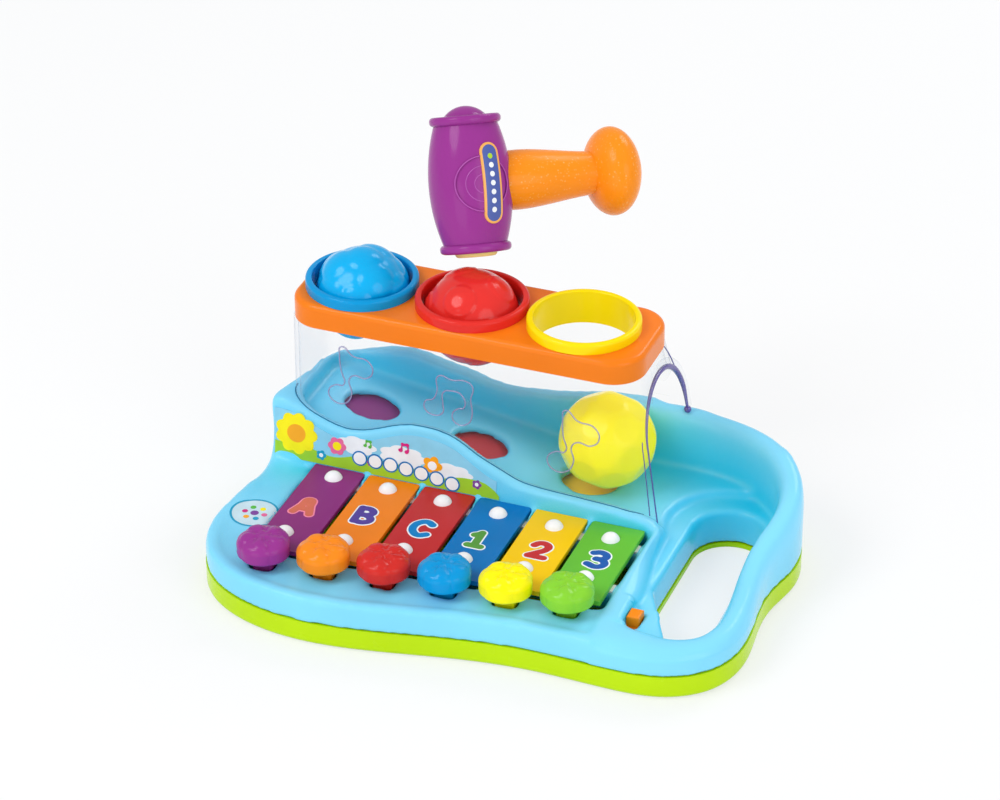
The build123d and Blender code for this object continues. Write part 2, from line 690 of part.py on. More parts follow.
# Hollow balls: two wait in their collars and one has rolled down to the exit
ball_centres = {
    "blue": (ring_xs[0], deck_y, deck_top_z - blue_ball_sink),
    "red": (ring_xs[1], deck_y, deck_top_z - red_ball_sink),
    "yellow": (ring_xs[2] + yellow_ball_shift, deck_y + yellow_ball_shift / 3,
               tray_z + ball_radius + fit_gap),
}
for colour, centre in ball_centres.items():
    with BuildPart() as ball:
        with Locations(centre):
            Sphere(ball_radius)
            Sphere(ball_radius - ball_wall, mode=Mode.SUBTRACT)
    ball.part.label = "ball_" + colour
    export_step(ball.part, "parts/ball_" + colour + ".step")

# Chime plates under the floor holes, each held by two screws
for index, x in enumerate(chime_xs):
    with BuildPart(ramp_plane(x, chime_drop)) as chime_plate:
        Box(chime_length, chime_width, chime_thickness, align=(Align.CENTER, Align.CENTER, Align.MAX))
        fillet(chime_plate.edges().filter_by(lambda edge: abs(edge.length - chime_thickness) < pin_gap),
               chime_corner)
        with Locations((0, -chime_screw_spread), (0, chime_screw_spread)):
            Cylinder(chime_screw_radius + fit_gap, 3 * chime_thickness, mode=Mode.SUBTRACT)
    chime_plate.part.label = "chime_plate_" + str(index + 1)
    export_step(chime_plate.part, "parts/chime_plate_" + str(index + 1) + ".step")

with BuildPart() as chime_screws:
    for x in chime_xs:
        with Locations(ramp_plane(x, chime_drop + chime_thickness)):
            with Locations((0, -chime_screw_spread), (0, chime_screw_spread)):
                Cylinder(chime_screw_head_radius, chime_screw_head_height,
                         align=(Align.CENTER, Align.CENTER, Align.MAX))
                Cylinder(chime_screw_radius,
                         chime_thickness + chime_drop - top_wall + chime_screw_bite - fit_gap,
                         align=(Align.CENTER, Align.CENTER, Align.MIN))
chime_screws.part.label = "chime_screws"
export_step(chime_screws.part, "parts/chime_screws.step")

# Bars of the xylophone, shortest at the right
for index, name in enumerate(bar_names):
    x, front_y = bar_xs[index], bar_front_ys[index]
    with BuildPart() as bar:
        with BuildSketch(Plane.XY.offset(bar_bottom_z)):
            with Locations((x, (front_y + bar_back_y) / 2)):
                RectangleRounded(bar_width, bar_back_y - front_y, bar_corner)
            with Locations((x, back_pin_ys[index]), (front_pin_xs[index], front_pin_ys[index])):
                Circle(pin_radius + fit_gap, mode=Mode.SUBTRACT)
        extrude(amount=bar_thickness)
    bar.part.label = "bar_" + name
    export_step(bar.part, "parts/bar_" + name + ".step")

# Soft strips under the bars
with BuildPart() as bar_pads:
    with BuildSketch(Plane.XY.offset(rail_top_z)):
        for ys in (back_pin_ys, front_pin_ys):
            with BuildLine():
                Polyline((bars_left, ys[0] - pad_width / 2), (bars_right, ys[-1] - pad_width / 2),
                         (bars_right, ys[-1] + pad_width / 2), (bars_left, ys[0] + pad_width / 2), close=True)
            make_face()
        with Locations(*pin_points):
            Circle(pin_radius + fit_gap, mode=Mode.SUBTRACT)
        for index in range(1, bar_count):
            with Locations((bars_left + index * bar_pitch, panel_y - stub_length / 2)):
                Rectangle(bar_gap, stub_length + bar_gap, mode=Mode.SUBTRACT)
    extrude(amount=pad_thickness)
bar_pads.part.label = "bar_pads"
export_step(bar_pads.part, "parts/bar_pads.step")

# White pins with domed heads through the bars into the rails
with BuildPart() as bar_pins:
    dome_radius = (pin_head_radius ** 2 + pin_head_height ** 2) / (2 * pin_head_height)
    with Locations(*[(x, y, bar_top_z + pin_gap) for x, y in pin_points]):
        Cylinder(pin_head_radius, pin_head_height, align=(Align.CENTER, Align.CENTER, Align.MIN))
    with Locations(*[(x, y, bar_top_z + pin_gap + pin_head_height - dome_radius) for x, y in pin_points]):
        Sphere(dome_radius, mode=Mode.INTERSECT)
    with Locations(*[(x, y, rail_top_z - pin_depth) for x, y in pin_points]):
        Cylinder(pin_radius, pin_depth + bar_top_z + 2 * pin_gap - rail_top_z,
                 align=(Align.CENTER, Align.CENTER, Align.MIN))
bar_pins.part.label = "bar_pins"
export_step(bar_pins.part, "parts/bar_pins.step")

# Axle under the front rail
with BuildPart() as key_axle:
    with BuildSketch(Plane.YZ.offset(bars_left - post_width)):
        with Locations((axle_y, axle_z)):
            Circle(axle_radius)
    extrude(amount=bar_count * bar_pitch + 2 * post_width)
key_axle.part.label = "key_axle"
export_step(key_axle.part, "parts/key_axle.step")

# Keys: knob, stem, lever and striker in one moulding each, with a return spring
spring_y = axle_y - spring_setback
spring_height = arm_bottom_z - floor_thickness - 2 * pin_gap
for name, bar_x, knob_x, knob_y in zip(bar_names, bar_xs, knob_xs, knob_ys):
    with BuildPart() as key:
        with BuildSketch(Plane.XY.offset(knob_bottom_z)):
            with Locations((knob_x, knob_y)):
                Circle(knob_radius)
        extrude(amount=knob_height)
        fillet(key.edges().sort_by(Axis.Z)[-1], knob_edge_radius)
        fillet(key.edges().sort_by(Axis.Z)[0], knob_edge_radius / 3)
        with Locations((knob_x, knob_y, knob_bottom_z + knob_height)):
            Cylinder(petal_radius, petal_height, align=(Align.CENTER, Align.CENTER, Align.MIN))
            with PolarLocations(2 * petal_radius + petal_height / 2, petal_count):
                Cylinder(petal_radius, 2 * petal_height)
        with Locations((knob_x, knob_y, arm_bottom_z)):
            Box(stem_width, stem_depth, knob_bottom_z - arm_bottom_z + petal_height,
                align=(Align.CENTER, Align.CENTER, Align.MIN))
        with BuildSketch(Plane.XY.offset(arm_bottom_z)):
            with BuildLine():
                Polyline((knob_x - arm_width / 2, knob_y), (knob_x + arm_width / 2, knob_y),
                         (bar_x + arm_width / 2, axle_y), (bar_x + arm_width / 2, striker_y),
                         (bar_x - arm_width / 2, striker_y), (bar_x - arm_width / 2, axle_y), close=True)
            make_face()
        extrude(amount=arm_height)
        with Locations((bar_x, striker_y, arm_bottom_z)):
            Cylinder(striker_radius, striker_top_z - arm_bottom_z,
                     align=(Align.CENTER, Align.CENTER, Align.MIN))
        fillet(key.edges().filter_by(GeomType.CIRCLE).filter_by_position(Axis.Z, striker_top_z - pin_gap,
               striker_top_z + pin_gap), striker_radius / 3)
        with BuildSketch(Plane.YZ.offset(bar_x - hub_width / 2)):
            with Locations((axle_y, axle_z)):
                Circle(hub_radius)
        extrude(amount=hub_width)
        with BuildSketch(Plane.YZ.offset(bar_x - hub_width)):
            with Locations((axle_y, axle_z)):
                Circle(axle_radius + pin_gap)
        extrude(amount=2 * hub_width, mode=Mode.SUBTRACT)
    key.part.label = "key_" + name
    export_step(key.part, "parts/key_" + name + ".step")

    coil_height = spring_height - spring_wire
    with BuildPart() as spring:
        with BuildLine():
            coil = Helix(pitch=coil_height / spring_turns, height=coil_height, radius=spring_radius,
                         center=(bar_x, spring_y, floor_thickness + pin_gap + spring_wire / 2))
        with BuildSketch(Plane(coil @ 0, z_dir=coil % 0)):
            Circle(spring_wire / 2)
        sweep(path=coil, is_frenet=True)
    spring.part.label = "key_spring_" + name
    export_step(spring.part, "parts/key_spring_" + name + ".step")

# Sliding catch beside the handle slot
catch_floor_z = lower_tray_z - top_wall
with BuildPart() as slide_catch:
    with Locations((catch_x, catch_y, catch_floor_z - fit_gap)):
        Box(catch_width + 2 * catch_flange, catch_length + catch_flange, catch_flange,
            align=(Align.CENTER, Align.CENTER, Align.MAX))
    with Locations((catch_x, catch_y, catch_floor_z - fit_gap)):
        Box(catch_width, catch_length, top_wall + fit_gap + catch_height,
            align=(Align.CENTER, Align.CENTER, Align.MIN))
    fillet(slide_catch.faces().sort_by(Axis.Z)[-1].edges(), catch_flange / 2)
slide_catch.part.label = "slide_catch"
export_step(slide_catch.part, "parts/slide_catch.step")

# Printed label on the sloping panel
panel_angle = atan(panel_lean / (stage_top_z - lip_z))
panel_plane = Plane(origin=(stage_left, panel_y, lip_z), x_dir=(1, 0, 0),
                    z_dir=(0, -cos(panel_angle), sin(panel_angle))).offset(pin_gap)
label_foot = (bar_top_z + fit_gap - lip_z) / cos(panel_angle)
label_points = [(max(x_share * stage_length, label_left_room),
                 (tray_z - lip_z + z_share * stage_rise - label_top_gap) / cos(panel_angle))
                for x_share, z_share in front_wave_shares[:label_wave_points]]
with BuildPart() as panel_label:
    with BuildSketch(panel_plane):
        with BuildLine():
            top = Spline(*label_points)
            Polyline(top @ 1, ((top @ 1).X, label_foot), ((top @ 0).X, label_foot), top @ 0)
        make_face()
    extrude(amount=label_thickness)
panel_label.part.label = "panel_label"
export_step(panel_label.part, "parts/panel_label.step")

# Round label on the floor at the left
with BuildPart() as round_label:
    with Locations((bars_left - round_label_radius - well_margin - fit_gap, round_label_y, floor_z)):
        Cylinder(round_label_radius, label_thickness, align=(Align.CENTER, Align.CENTER, Align.MIN))
round_label.part.label = "round_label"
export_step(round_label.part, "parts/round_label.step")

# Hammer, held just above the red ball with its head leaning back
head_axis = Vector(*head_lean_shares).normalized()
handle_axis = Vector(*handle_lean_shares) - head_axis * Vector(*handle_lean_shares).dot(head_axis)
handle_axis = handle_axis.normalized()
side_axis = handle_axis.cross(head_axis)
head_middle = (Vector(*ball_centres["red"]) + head_axis * head_lift + handle_axis * head_handle_shift
               - side_axis * head_side_shift)
head_half = head_length / 2
barrel_half = head_half - head_rim_thickness / 2
head_section = Plane(origin=head_middle, x_dir=handle_axis, z_dir=side_axis)
handle_section = Plane(origin=head_middle, x_dir=handle_axis, z_dir=-side_axis)


def head_plane(height):
    # plane across the head's axis, this far above its middle
    return Plane(origin=head_middle + head_axis * height, x_dir=handle_axis, z_dir=head_axis)


def barrel(end_radius, middle_radius, half):
    # turned barrel between the two rims
    with BuildPart() as turned:
        with BuildSketch(head_section):
            with BuildLine():
                flank = ThreePointArc((end_radius, -half), (middle_radius, 0), (end_radius, half))
                Polyline(flank @ 1, (0, half), (0, -half), flank @ 0)
            make_face()
        revolve(axis=Axis(head_middle, head_axis))
    return turned.part


def barrel_patch(turn, low, high, outline):
    # patch that follows the barrel, between two heights above its surface
    outward = side_axis.rotate(Axis(origin=(0, 0, 0), direction=head_axis), turn)
    patch_plane = Plane(origin=head_middle, x_dir=head_axis, z_dir=outward)
    with BuildPart() as patch:
        with BuildSketch(patch_plane):
            add(outline)
        extrude(amount=2 * head_belly_radius)
        add(barrel(head_neck_radius + high, head_belly_radius + high, barrel_half), mode=Mode.INTERSECT)
        add(barrel(head_neck_radius + low, head_belly_radius + low, barrel_half), mode=Mode.SUBTRACT)
    return patch.part


with BuildSketch() as plate_outline:
    SlotOverall(plate_length, plate_width)
with BuildSketch() as plate_room:
    SlotOverall(plate_length + 2 * fit_gap, plate_width + 2 * fit_gap)
with BuildSketch() as relief_rings:
    for radius in relief_ring_radii:
        Circle(radius)
        Circle(radius - ring_width, mode=Mode.SUBTRACT)

rims = []
for height in (-barrel_half, barrel_half):
    with BuildPart(head_plane(height)) as rim:
        Cylinder(head_rim_radius, head_rim_thickness)
        fillet(rim.edges().filter_by(GeomType.CIRCLE), head_rim_round)
    rims.append(rim.part)
with BuildPart() as hammer_head:
    add(barrel(head_neck_radius, head_belly_radius, barrel_half))
    add(rims)
    add(barrel_patch(0, -fit_gap, ring_relief, relief_rings.sketch))
    add(barrel_patch(plate_turn, 0, 2 * ring_relief, plate_room.sketch), mode=Mode.SUBTRACT)
    add(barrel(head_bore_radius, head_belly_radius - head_wall, barrel_half - spigot_length),
        mode=Mode.SUBTRACT)
    with Locations(head_plane(0)):
        Cylinder(head_bore_radius, 2 * head_length, mode=Mode.SUBTRACT)
    with BuildSketch(Plane(origin=head_middle, z_dir=handle_axis)):
        Circle(handle_spigot_radius + pin_gap)
    extrude(amount=head_length, mode=Mode.SUBTRACT)
hammer_head.part.label = "hammer_head"
export_step(hammer_head.part, "parts/hammer_head.step")

with BuildPart(head_plane(head_half + pin_gap)) as hammer_cap:
    Cylinder(head_cap_radius, head_cap_height, align=(Align.CENTER, Align.CENTER, Align.MIN))
    dome_radius = (head_cap_radius ** 2 + head_cap_height ** 2) / (2 * head_cap_height)
    with Locations((0, 0, head_cap_height - dome_radius)):
        Sphere(dome_radius, mode=Mode.INTERSECT)
    Cylinder(head_bore_radius - pin_gap, spigot_length, align=(Align.CENTER, Align.CENTER, Align.MAX))
hammer_cap.part.label = "hammer_cap"
export_step(hammer_cap.part, "parts/hammer_cap.step")

with BuildPart(head_plane(-head_half - pin_gap)) as hammer_pad:
    Cylinder(head_pad_radius, head_pad_height, align=(Align.CENTER, Align.CENTER, Align.MAX))
    fillet(hammer_pad.edges().sort_by(lambda edge: edge.center().dot(head_axis))[0], head_pad_round)
    Cylinder(head_bore_radius - pin_gap, spigot_length, align=(Align.CENTER, Align.CENTER, Align.MIN))
hammer_pad.part.label = "hammer_pad"
export_step(hammer_pad.part, "parts/hammer_pad.step")


def handle_form(inset, start):
    # turned handle with its end knob, drawn in by an even wall
    with BuildPart() as turned:
        with BuildSketch(handle_section):
            with BuildLine():
                flank = Spline((start, handle_root_radius - inset),
                               (head_half, handle_root_radius - inset),
                               (handle_neck_reach, handle_neck_radius - inset),
                               (handle_knob_reach, handle_neck_radius + inset / 2))
                Polyline(flank @ 1, (handle_knob_reach, 0), (start, 0), flank @ 0)
            make_face()
            with Locations((handle_knob_reach, 0)):
                Ellipse(handle_knob_half - inset, handle_knob_radius - inset)
            with Locations((handle_knob_reach, -head_length)):
                Rectangle(2 * head_length, 2 * head_length, mode=Mode.SUBTRACT)
        revolve(axis=Axis(head_middle, handle_axis))
    return turned.part


with BuildPart() as hammer_handle:
    add(handle_form(0, head_neck_radius))
    add(handle_form(handle_wall, head_belly_radius + handle_wall), mode=Mode.SUBTRACT)
    add(barrel(head_neck_radius + pin_gap, head_belly_radius + pin_gap, barrel_half), mode=Mode.SUBTRACT)
    socket_foot = head_middle + handle_axis * (head_belly_radius - head_wall)
    with BuildSketch(Plane(origin=socket_foot, z_dir=handle_axis)):
        Circle(handle_spigot_radius)
    extrude(amount=2 * head_wall + handle_wall)
hammer_handle.part.label = "hammer_handle"
export_step(hammer_handle.part, "parts/hammer_handle.step")

hammer_plate = barrel_patch(plate_turn, pin_gap, plate_thickness, plate_outline.sketch)
hammer_plate.label = "hammer_plate"
export_step(hammer_plate, "parts/hammer_plate.step")
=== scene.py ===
# Xylophone hammer toy: finishes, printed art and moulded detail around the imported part
from math import acos, atan2, cos, degrees, hypot, pi, radians, sin, sqrt

import bmesh
import bpy
from mathutils import Matrix, Vector
from mathutils.bvhtree import BVHTree


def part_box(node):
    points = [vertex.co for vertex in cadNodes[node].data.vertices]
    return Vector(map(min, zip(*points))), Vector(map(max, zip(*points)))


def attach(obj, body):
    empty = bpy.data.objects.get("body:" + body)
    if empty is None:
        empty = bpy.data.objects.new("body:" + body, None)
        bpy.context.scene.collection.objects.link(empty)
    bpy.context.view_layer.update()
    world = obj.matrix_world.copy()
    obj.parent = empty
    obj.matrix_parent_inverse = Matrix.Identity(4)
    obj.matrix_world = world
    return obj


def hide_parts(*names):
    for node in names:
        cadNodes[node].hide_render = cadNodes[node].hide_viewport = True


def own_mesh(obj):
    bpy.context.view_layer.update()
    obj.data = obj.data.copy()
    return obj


mm = 0.001
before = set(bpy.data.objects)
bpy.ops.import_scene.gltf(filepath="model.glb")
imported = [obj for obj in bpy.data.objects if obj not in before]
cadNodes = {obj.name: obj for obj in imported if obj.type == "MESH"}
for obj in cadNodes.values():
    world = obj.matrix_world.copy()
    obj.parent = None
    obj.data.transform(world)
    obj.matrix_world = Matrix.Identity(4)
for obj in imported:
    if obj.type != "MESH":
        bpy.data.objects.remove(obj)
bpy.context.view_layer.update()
print("frame loaded with", len(cadNodes), "nodes")


# Finishes

def paint(red, green, blue):
    # a screen colour from 0 to 255 as a linear colour
    linear = [((part / 255 + 0.055) / 1.055) ** 2.4 for part in (red, green, blue)]
    return (*linear, 1.0)


def newMaterial(name):
    material = bpy.data.materials.new(name)
    material.use_nodes = True
    tree = material.node_tree
    return material, tree, tree.nodes["Principled BSDF"]


def link(source, target):
    source.id_data.links.new(source, target)


def setInputs(node, values):
    for key, value in values.items():
        node.inputs[key].default_value = value


def addNode(tree, kind, **settings):
    node = tree.nodes.new(kind)
    for key, value in settings.items():
        if key in node.inputs:
            node.inputs[key].default_value = value
        else:
            setattr(node, key, value)
    return node


def ownPlace(tree):
    # the piece's own coordinates, for its patterns
    node = tree.nodes.get("place") or addNode(tree, "ShaderNodeTexCoord", name="place")
    return node.outputs["Object"]


def addNoise(tree, scale, detail=2.0):
    noise = addNode(tree, "ShaderNodeTexNoise", Scale=scale, Detail=detail)
    link(ownPlace(tree), noise.inputs["Vector"])
    return noise.outputs["Fac"]


def addRange(tree, source, low=0.0, high=1.0, near=0.3, far=0.7):
    # noise stays mostly between 0.3 and 0.7, so that stretch is spread over the range
    spread = addNode(tree, "ShaderNodeMapRange")
    setInputs(spread, {"From Min": near, "From Max": far, "To Min": low, "To Max": high})
    link(source, spread.inputs["Value"])
    return spread.outputs["Result"]


def addTwoTone(tree, source, first, second):
    blend = addNode(tree, "ShaderNodeMix", data_type="RGBA")
    setInputs(blend, {6: first, 7: second})
    link(source, blend.inputs["Factor"])
    return blend.outputs[2]


def addClouds(tree, shader, look, tones):
    # two tones that drift into each other through the material
    cloud = addRange(tree, addNoise(tree, *look["cloud"]))
    link(addTwoTone(tree, cloud, *tones), shader.inputs["Base Color"])


def addTint(tree, shader, look, colour):
    addClouds(tree, shader, look, (shade(colour, look["dark"]), shade(colour, look["pale"])))


def addRoughness(tree, shader, scale, low, high):
    link(addRange(tree, addNoise(tree, scale), low, high), shader.inputs["Roughness"])


def retone(tree, factor, first, second, oldSocket):
    # one more tone in a finish, whose own colour goes into the given socket of the blend
    shader = tree.nodes["Principled BSDF"]
    base = shader.inputs["Base Color"].links[0].from_socket
    tone = addTwoTone(tree, factor, first, second)
    link(base, tone.node.inputs[oldSocket])
    link(tone, shader.inputs["Base Color"])


def shade(colour, factor):
    return (*(part * factor for part in colour[:3]), colour[3])


def addSkin(tree, shader, peelScale, peelDepth, grainScale, grainDepth):
    # slow waviness of the surface and a fine grain over it
    peel = addNode(tree, "ShaderNodeBump", Strength=1.0, Distance=peelDepth)
    grain = addNode(tree, "ShaderNodeBump", Strength=1.0, Distance=grainDepth)
    link(addNoise(tree, peelScale), peel.inputs["Height"])
    link(addNoise(tree, grainScale), grain.inputs["Height"])
    link(peel.outputs["Normal"], grain.inputs["Normal"])
    link(grain.outputs["Normal"], shader.inputs["Normal"])


plasticLook = {
    "cloud": (16.0, 3.0), "dark": 0.955, "pale": 1.045,    # slow change of colour through the moulding
    "roughScale": 70.0, "roughLow": 0.14, "roughHigh": 0.24,
    "skin": (210.0, 0.00006, 2600.0, 0.000006),    # waviness and grain, with the scale and depth of each
    "specular": 0.14, "coat": 0.06, "coatRoughness": 0.08,
}


def mouldedPlastic(name, colour, rougher=0.0, coat=plasticLook["coat"], glow=0.0):
    look = plasticLook
    material, tree, shader = newMaterial(name)
    addTint(tree, shader, look, colour)
    addRoughness(tree, shader, look["roughScale"], look["roughLow"] + rougher, look["roughHigh"] + rougher)
    addSkin(tree, shader, *look["skin"])
    # painted glow: where glow is set, the plastic gives off its own colour as light, though it is no lamp
    setInputs(shader, {"Specular IOR Level": look["specular"], "Coat Weight": coat,
                       "Coat Roughness": look["coatRoughness"], "Emission Color": colour, "Emission Strength": glow})
    return material


enamelLook = {
    "brushScale": 700.0, "brushStretch": (1.0, 0.12, 1.0), "brushDepth": 0.0000015, "roughLow": 0.3, "roughHigh": 0.36,
    "cloud": (30.0,), "dark": 0.94, "pale": 1.05, "specular": 0.2, "coat": 0.03, "coatRoughness": 0.12,
}


def barEnamel(name, colour):
    # thin paint over a punched metal bar: faint lengthwise brushing shows through
    look = enamelLook
    material, tree, shader = newMaterial(name)
    stretch = addNode(tree, "ShaderNodeMapping", Scale=look["brushStretch"])
    link(ownPlace(tree), stretch.inputs["Vector"])
    brush = addNode(tree, "ShaderNodeTexNoise", Scale=look["brushScale"], Detail=3.0)
    link(stretch.outputs["Vector"], brush.inputs["Vector"])
    link(addRange(tree, brush.outputs["Fac"], look["roughLow"], look["roughHigh"]), shader.inputs["Roughness"])
    addTint(tree, shader, look, colour)
    bump = addNode(tree, "ShaderNodeBump", Strength=1.0, Distance=look["brushDepth"])
    link(brush.outputs["Fac"], bump.inputs["Height"])
    link(bump.outputs["Normal"], shader.inputs["Normal"])
    setInputs(shader, {"Specular IOR Level": look["specular"], "Coat Weight": look["coat"],
                       "Coat Roughness": look["coatRoughness"]})
    return material


steelLook = {
    "tones": (paint(172, 174, 178), paint(198, 200, 204)), "cloud": (400.0,),
    "rough": (1500.0, 0.26, 0.4), "skin": (500.0, 0.00001, 4000.0, 0.000004),
}


def bareSteel(name, look):
    material, tree, shader = newMaterial(name)
    addClouds(tree, shader, look, look["tones"])
    addRoughness(tree, shader, *look["rough"])
    addSkin(tree, shader, *look["skin"])
    shader.inputs["Metallic"].default_value = 1.0
    return material


clearLook = {
    "face": paint(206, 220, 236), "edge": paint(86, 76, 140),
    "faceAlpha": 0.025, "edgeAlpha": 0.9, "steepness": 4.5, "rough": 0.05,
    "slant": 0.4, "specular": 0.9, "skin": (60.0, 0.00008, 2000.0, 0.000003),
}


def clearPlastic(name, **changes):
    # clear walls: nearly unseen face on, and violet where the eye runs along them
    look = {**clearLook, **changes}
    material, tree, shader = newMaterial(name)
    slant = addNode(tree, "ShaderNodeLayerWeight", Blend=look["slant"])
    steep = addNode(tree, "ShaderNodeMath", operation="POWER")
    steep.inputs[1].default_value = look["steepness"]
    link(slant.outputs["Facing"], steep.inputs[0])
    link(addTwoTone(tree, steep.outputs[0], look["face"], look["edge"]), shader.inputs["Base Color"])
    alpha = addRange(tree, steep.outputs[0], look["faceAlpha"], look["edgeAlpha"], near=0.0, far=1.0)
    link(alpha, shader.inputs["Alpha"])
    setInputs(shader, {"Roughness": look["rough"], "Specular IOR Level": look["specular"]})
    addSkin(tree, shader, *look["skin"])
    return material


glitterLook = {"rougher": 0.05, "flakeScale": 520.0, "flakeEdge": 0.3, "flakeHeart": 0.12, "patchScale": 160.0,
               "patchMost": 0.6}


def glitterPlastic(name, colour, flake):
    # coloured plastic with pale flakes mixed in, more in some patches than in others
    look = glitterLook
    material = mouldedPlastic(name, colour, rougher=look["rougher"])
    tree = material.node_tree
    cells = addNode(tree, "ShaderNodeTexVoronoi", Scale=look["flakeScale"])
    link(ownPlace(tree), cells.inputs["Vector"])
    spots = addRange(tree, cells.outputs["Distance"], near=look["flakeEdge"], far=look["flakeHeart"])
    patches = addRange(tree, addNoise(tree, look["patchScale"]), 0.0, look["patchMost"])
    share = addNode(tree, "ShaderNodeMath", operation="MULTIPLY")
    link(spots, share.inputs[0])
    link(patches, share.inputs[1])
    retone(tree, share.outputs[0], colour, flake, 6)
    return material


# painted shade for hollows: how far occlusion is sought, and the occlusion that gives the full shade tone and the open
# tone
hollowShadeLook = {"reach": 0.05, "closed": 0.6, "open": 0.93}


def hollowShadePlastic(name, colour, shadeTone, look):
    # painted shade: pale where it lies open to the sky, and a fuller, deeper colour down in its hollows, blended in by
    # ambient occlusion
    material = mouldedPlastic(name, colour)
    tree = material.node_tree
    hollow = addNode(tree, "ShaderNodeAmbientOcclusion", Distance=look["reach"], samples=4, only_local=True)
    openness = addRange(tree, hollow.outputs["AO"], near=look["closed"], far=look["open"])
    retone(tree, openness, shadeTone, colour, 7)
    return material


inkLook = {
    "cloud": (120.0,), "dark": 0.95, "pale": 1.04, "roughScale": 700.0, "roughSpread": 0.05,
    "skin": (500.0, 0.000008, 3000.0, 0.000003), "specular": 0.25,
}


def printedInk(name, colour, rough=0.42):
    # printed film: a faint screen of ink over paper-smooth plastic
    look = inkLook
    material, tree, shader = newMaterial(name)
    addTint(tree, shader, look, colour)
    addRoughness(tree, shader, look["roughScale"], rough - look["roughSpread"], rough + look["roughSpread"])
    addSkin(tree, shader, *look["skin"])
    shader.inputs["Specular IOR Level"].default_value = look["specular"]
    return material


colours = {name: paint(*tone) for name, tone in {
    # the deeper cyan after the shell blue is painted shade for the shell's hollows
    "shellBlue": (132, 217, 249), "shellShadeBlue": (0, 204, 238), "shellGreen": (188, 224, 0),
    "deckOrange": (244, 126, 22), "ringBlue": (0, 150, 212), "ringRed": (226, 48, 40), "ringYellow": (252, 224, 6),
    "purple": (152, 52, 142), "orange": (246, 138, 26), "red": (208, 44, 38),
    "keyBlue": (0, 150, 214), "yellow": (253, 240, 8), "keyGreen": (134, 206, 52),
    "barPurple": (140, 42, 122), "barOrange": (246, 134, 18), "barRed": (196, 44, 44),
    "barBlue": (0, 118, 190), "barYellow": (252, 206, 4), "barGreen": (98, 190, 60),
    "ballBlue": (0, 176, 236), "ballRed": (230, 48, 42), "ballYellow": (255, 240, 0),
    "white": (248, 248, 249), "cream": (240, 222, 140), "foam": (226, 226, 222),
    # the last, lighter purple is a painted highlight for the barrel's raised beads
    "handleOrange": (250, 144, 24), "paleFlake": (255, 206, 128), "beadHighlightPurple": (176, 84, 170),
}.items()}
steel = bareSteel("bareSteel", steelLook)
clearWall = clearPlastic("clearWall")
purplePlastic = mouldedPlastic("hammerPurple", colours["purple"])
# the blue shell gets painted shade, a deeper cyan, in its hollows
bluePlastic = hollowShadePlastic("shellBlue", colours["shellBlue"], colours["shellShadeBlue"], hollowShadeLook)
ballPlastics = {
    "blue": mouldedPlastic("ballBlue", colours["ballBlue"], coat=0.2),
    "red": mouldedPlastic("ballRed", colours["ballRed"], coat=0.25),
    # painted glow keeps the yellow ball bright in the shade under the deck
    "yellow": mouldedPlastic("ballYellow", colours["ballYellow"], glow=0.12),
}
nodeFinish = {
    "base_bottom_shell": mouldedPlastic("shellGreen", colours["shellGreen"], rougher=0.04),
    "clear_housing": clearWall,
    "deck": mouldedPlastic("deckOrange", colours["deckOrange"]),
    "chime_screws": steel,
    "case_screws": steel,
    "key_axle": steel,
    "bar_pads": printedInk("padFoam", colours["foam"], rough=0.85),
    "bar_pins": mouldedPlastic("whitePinPlastic", colours["white"]),
    "slide_catch": mouldedPlastic("catchOrange", colours["orange"]),
    "hammer_head": purplePlastic,
    "hammer_cap": purplePlastic,
    "hammer_pad": mouldedPlastic("padCream", colours["cream"], rougher=0.3, coat=0.0),
    "hammer_handle": glitterPlastic("handleOrange", colours["handleOrange"], colours["paleFlake"]),
}
for tone in ("Blue", "Red", "Yellow"):
    nodeFinish["collar_" + tone.lower()] = mouldedPlastic("collar" + tone, colours["ring" + tone])
for number, tone in enumerate(("Purple", "Red", "Yellow"), 1):
    nodeFinish["chime_plate_%d" % number] = barEnamel("chime" + tone, colours["bar" + tone])
barTones = {"a": ("barPurple", "purple"), "b": ("barOrange", "orange"), "c": ("barRed", "red"),
            "1": ("barBlue", "keyBlue"), "2": ("barYellow", "yellow"), "3": ("barGreen", "keyGreen")}
for barName, (barTone, keyTone) in barTones.items():
    nodeFinish["bar_" + barName] = barEnamel("enamel_" + barName, colours[barTone])
    nodeFinish["key_" + barName] = mouldedPlastic("knob_" + barName, colours[keyTone])


def finishNode(nodeName, material):
    for slot in cadNodes[nodeName].material_slots:
        slot.material = material


for nodeName, finish in nodeFinish.items():
    finishNode(nodeName, finish)
print("finishes on", len(nodeFinish), "nodes")


# Helpers for new pieces

def addObject(name, data):
    item = bpy.data.objects.new(name, data)
    bpy.context.scene.collection.objects.link(item)
    return item


def addPiece(name, mesh, material, body):
    piece = addObject(name, mesh)
    mesh.materials.clear()
    mesh.materials.append(material)
    for face in mesh.polygons:
        face.use_smooth = True
    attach(piece, body)
    return piece


def takeMesh(item, name):
    # the final mesh of an object with its modifiers; the object itself goes
    bpy.context.view_layer.update()
    graph = bpy.context.evaluated_depsgraph_get()
    mesh = bpy.data.meshes.new_from_object(item.evaluated_get(graph))
    mesh.name = name
    bpy.data.objects.remove(item)
    return mesh


def shapeOf(mesh):
    shape = bmesh.new()
    shape.from_mesh(mesh)
    return shape


def meshOf(shape, name):
    mesh = bpy.data.meshes.new(name)
    shape.to_mesh(mesh)
    shape.free()
    return mesh


def evenSkin(mesh, voxel, name):
    # the same form in one skin of small, even faces
    item = addObject(name, mesh)
    remesh = item.modifiers.new("remesh", "REMESH")
    remesh.mode = "VOXEL"
    remesh.voxel_size = voxel
    return takeMesh(item, name)


def soften(shape, verts, rounds):
    for _ in range(rounds):
        bmesh.ops.smooth_vert(shape, verts=verts, factor=0.5, use_axis_x=True, use_axis_y=True, use_axis_z=True)


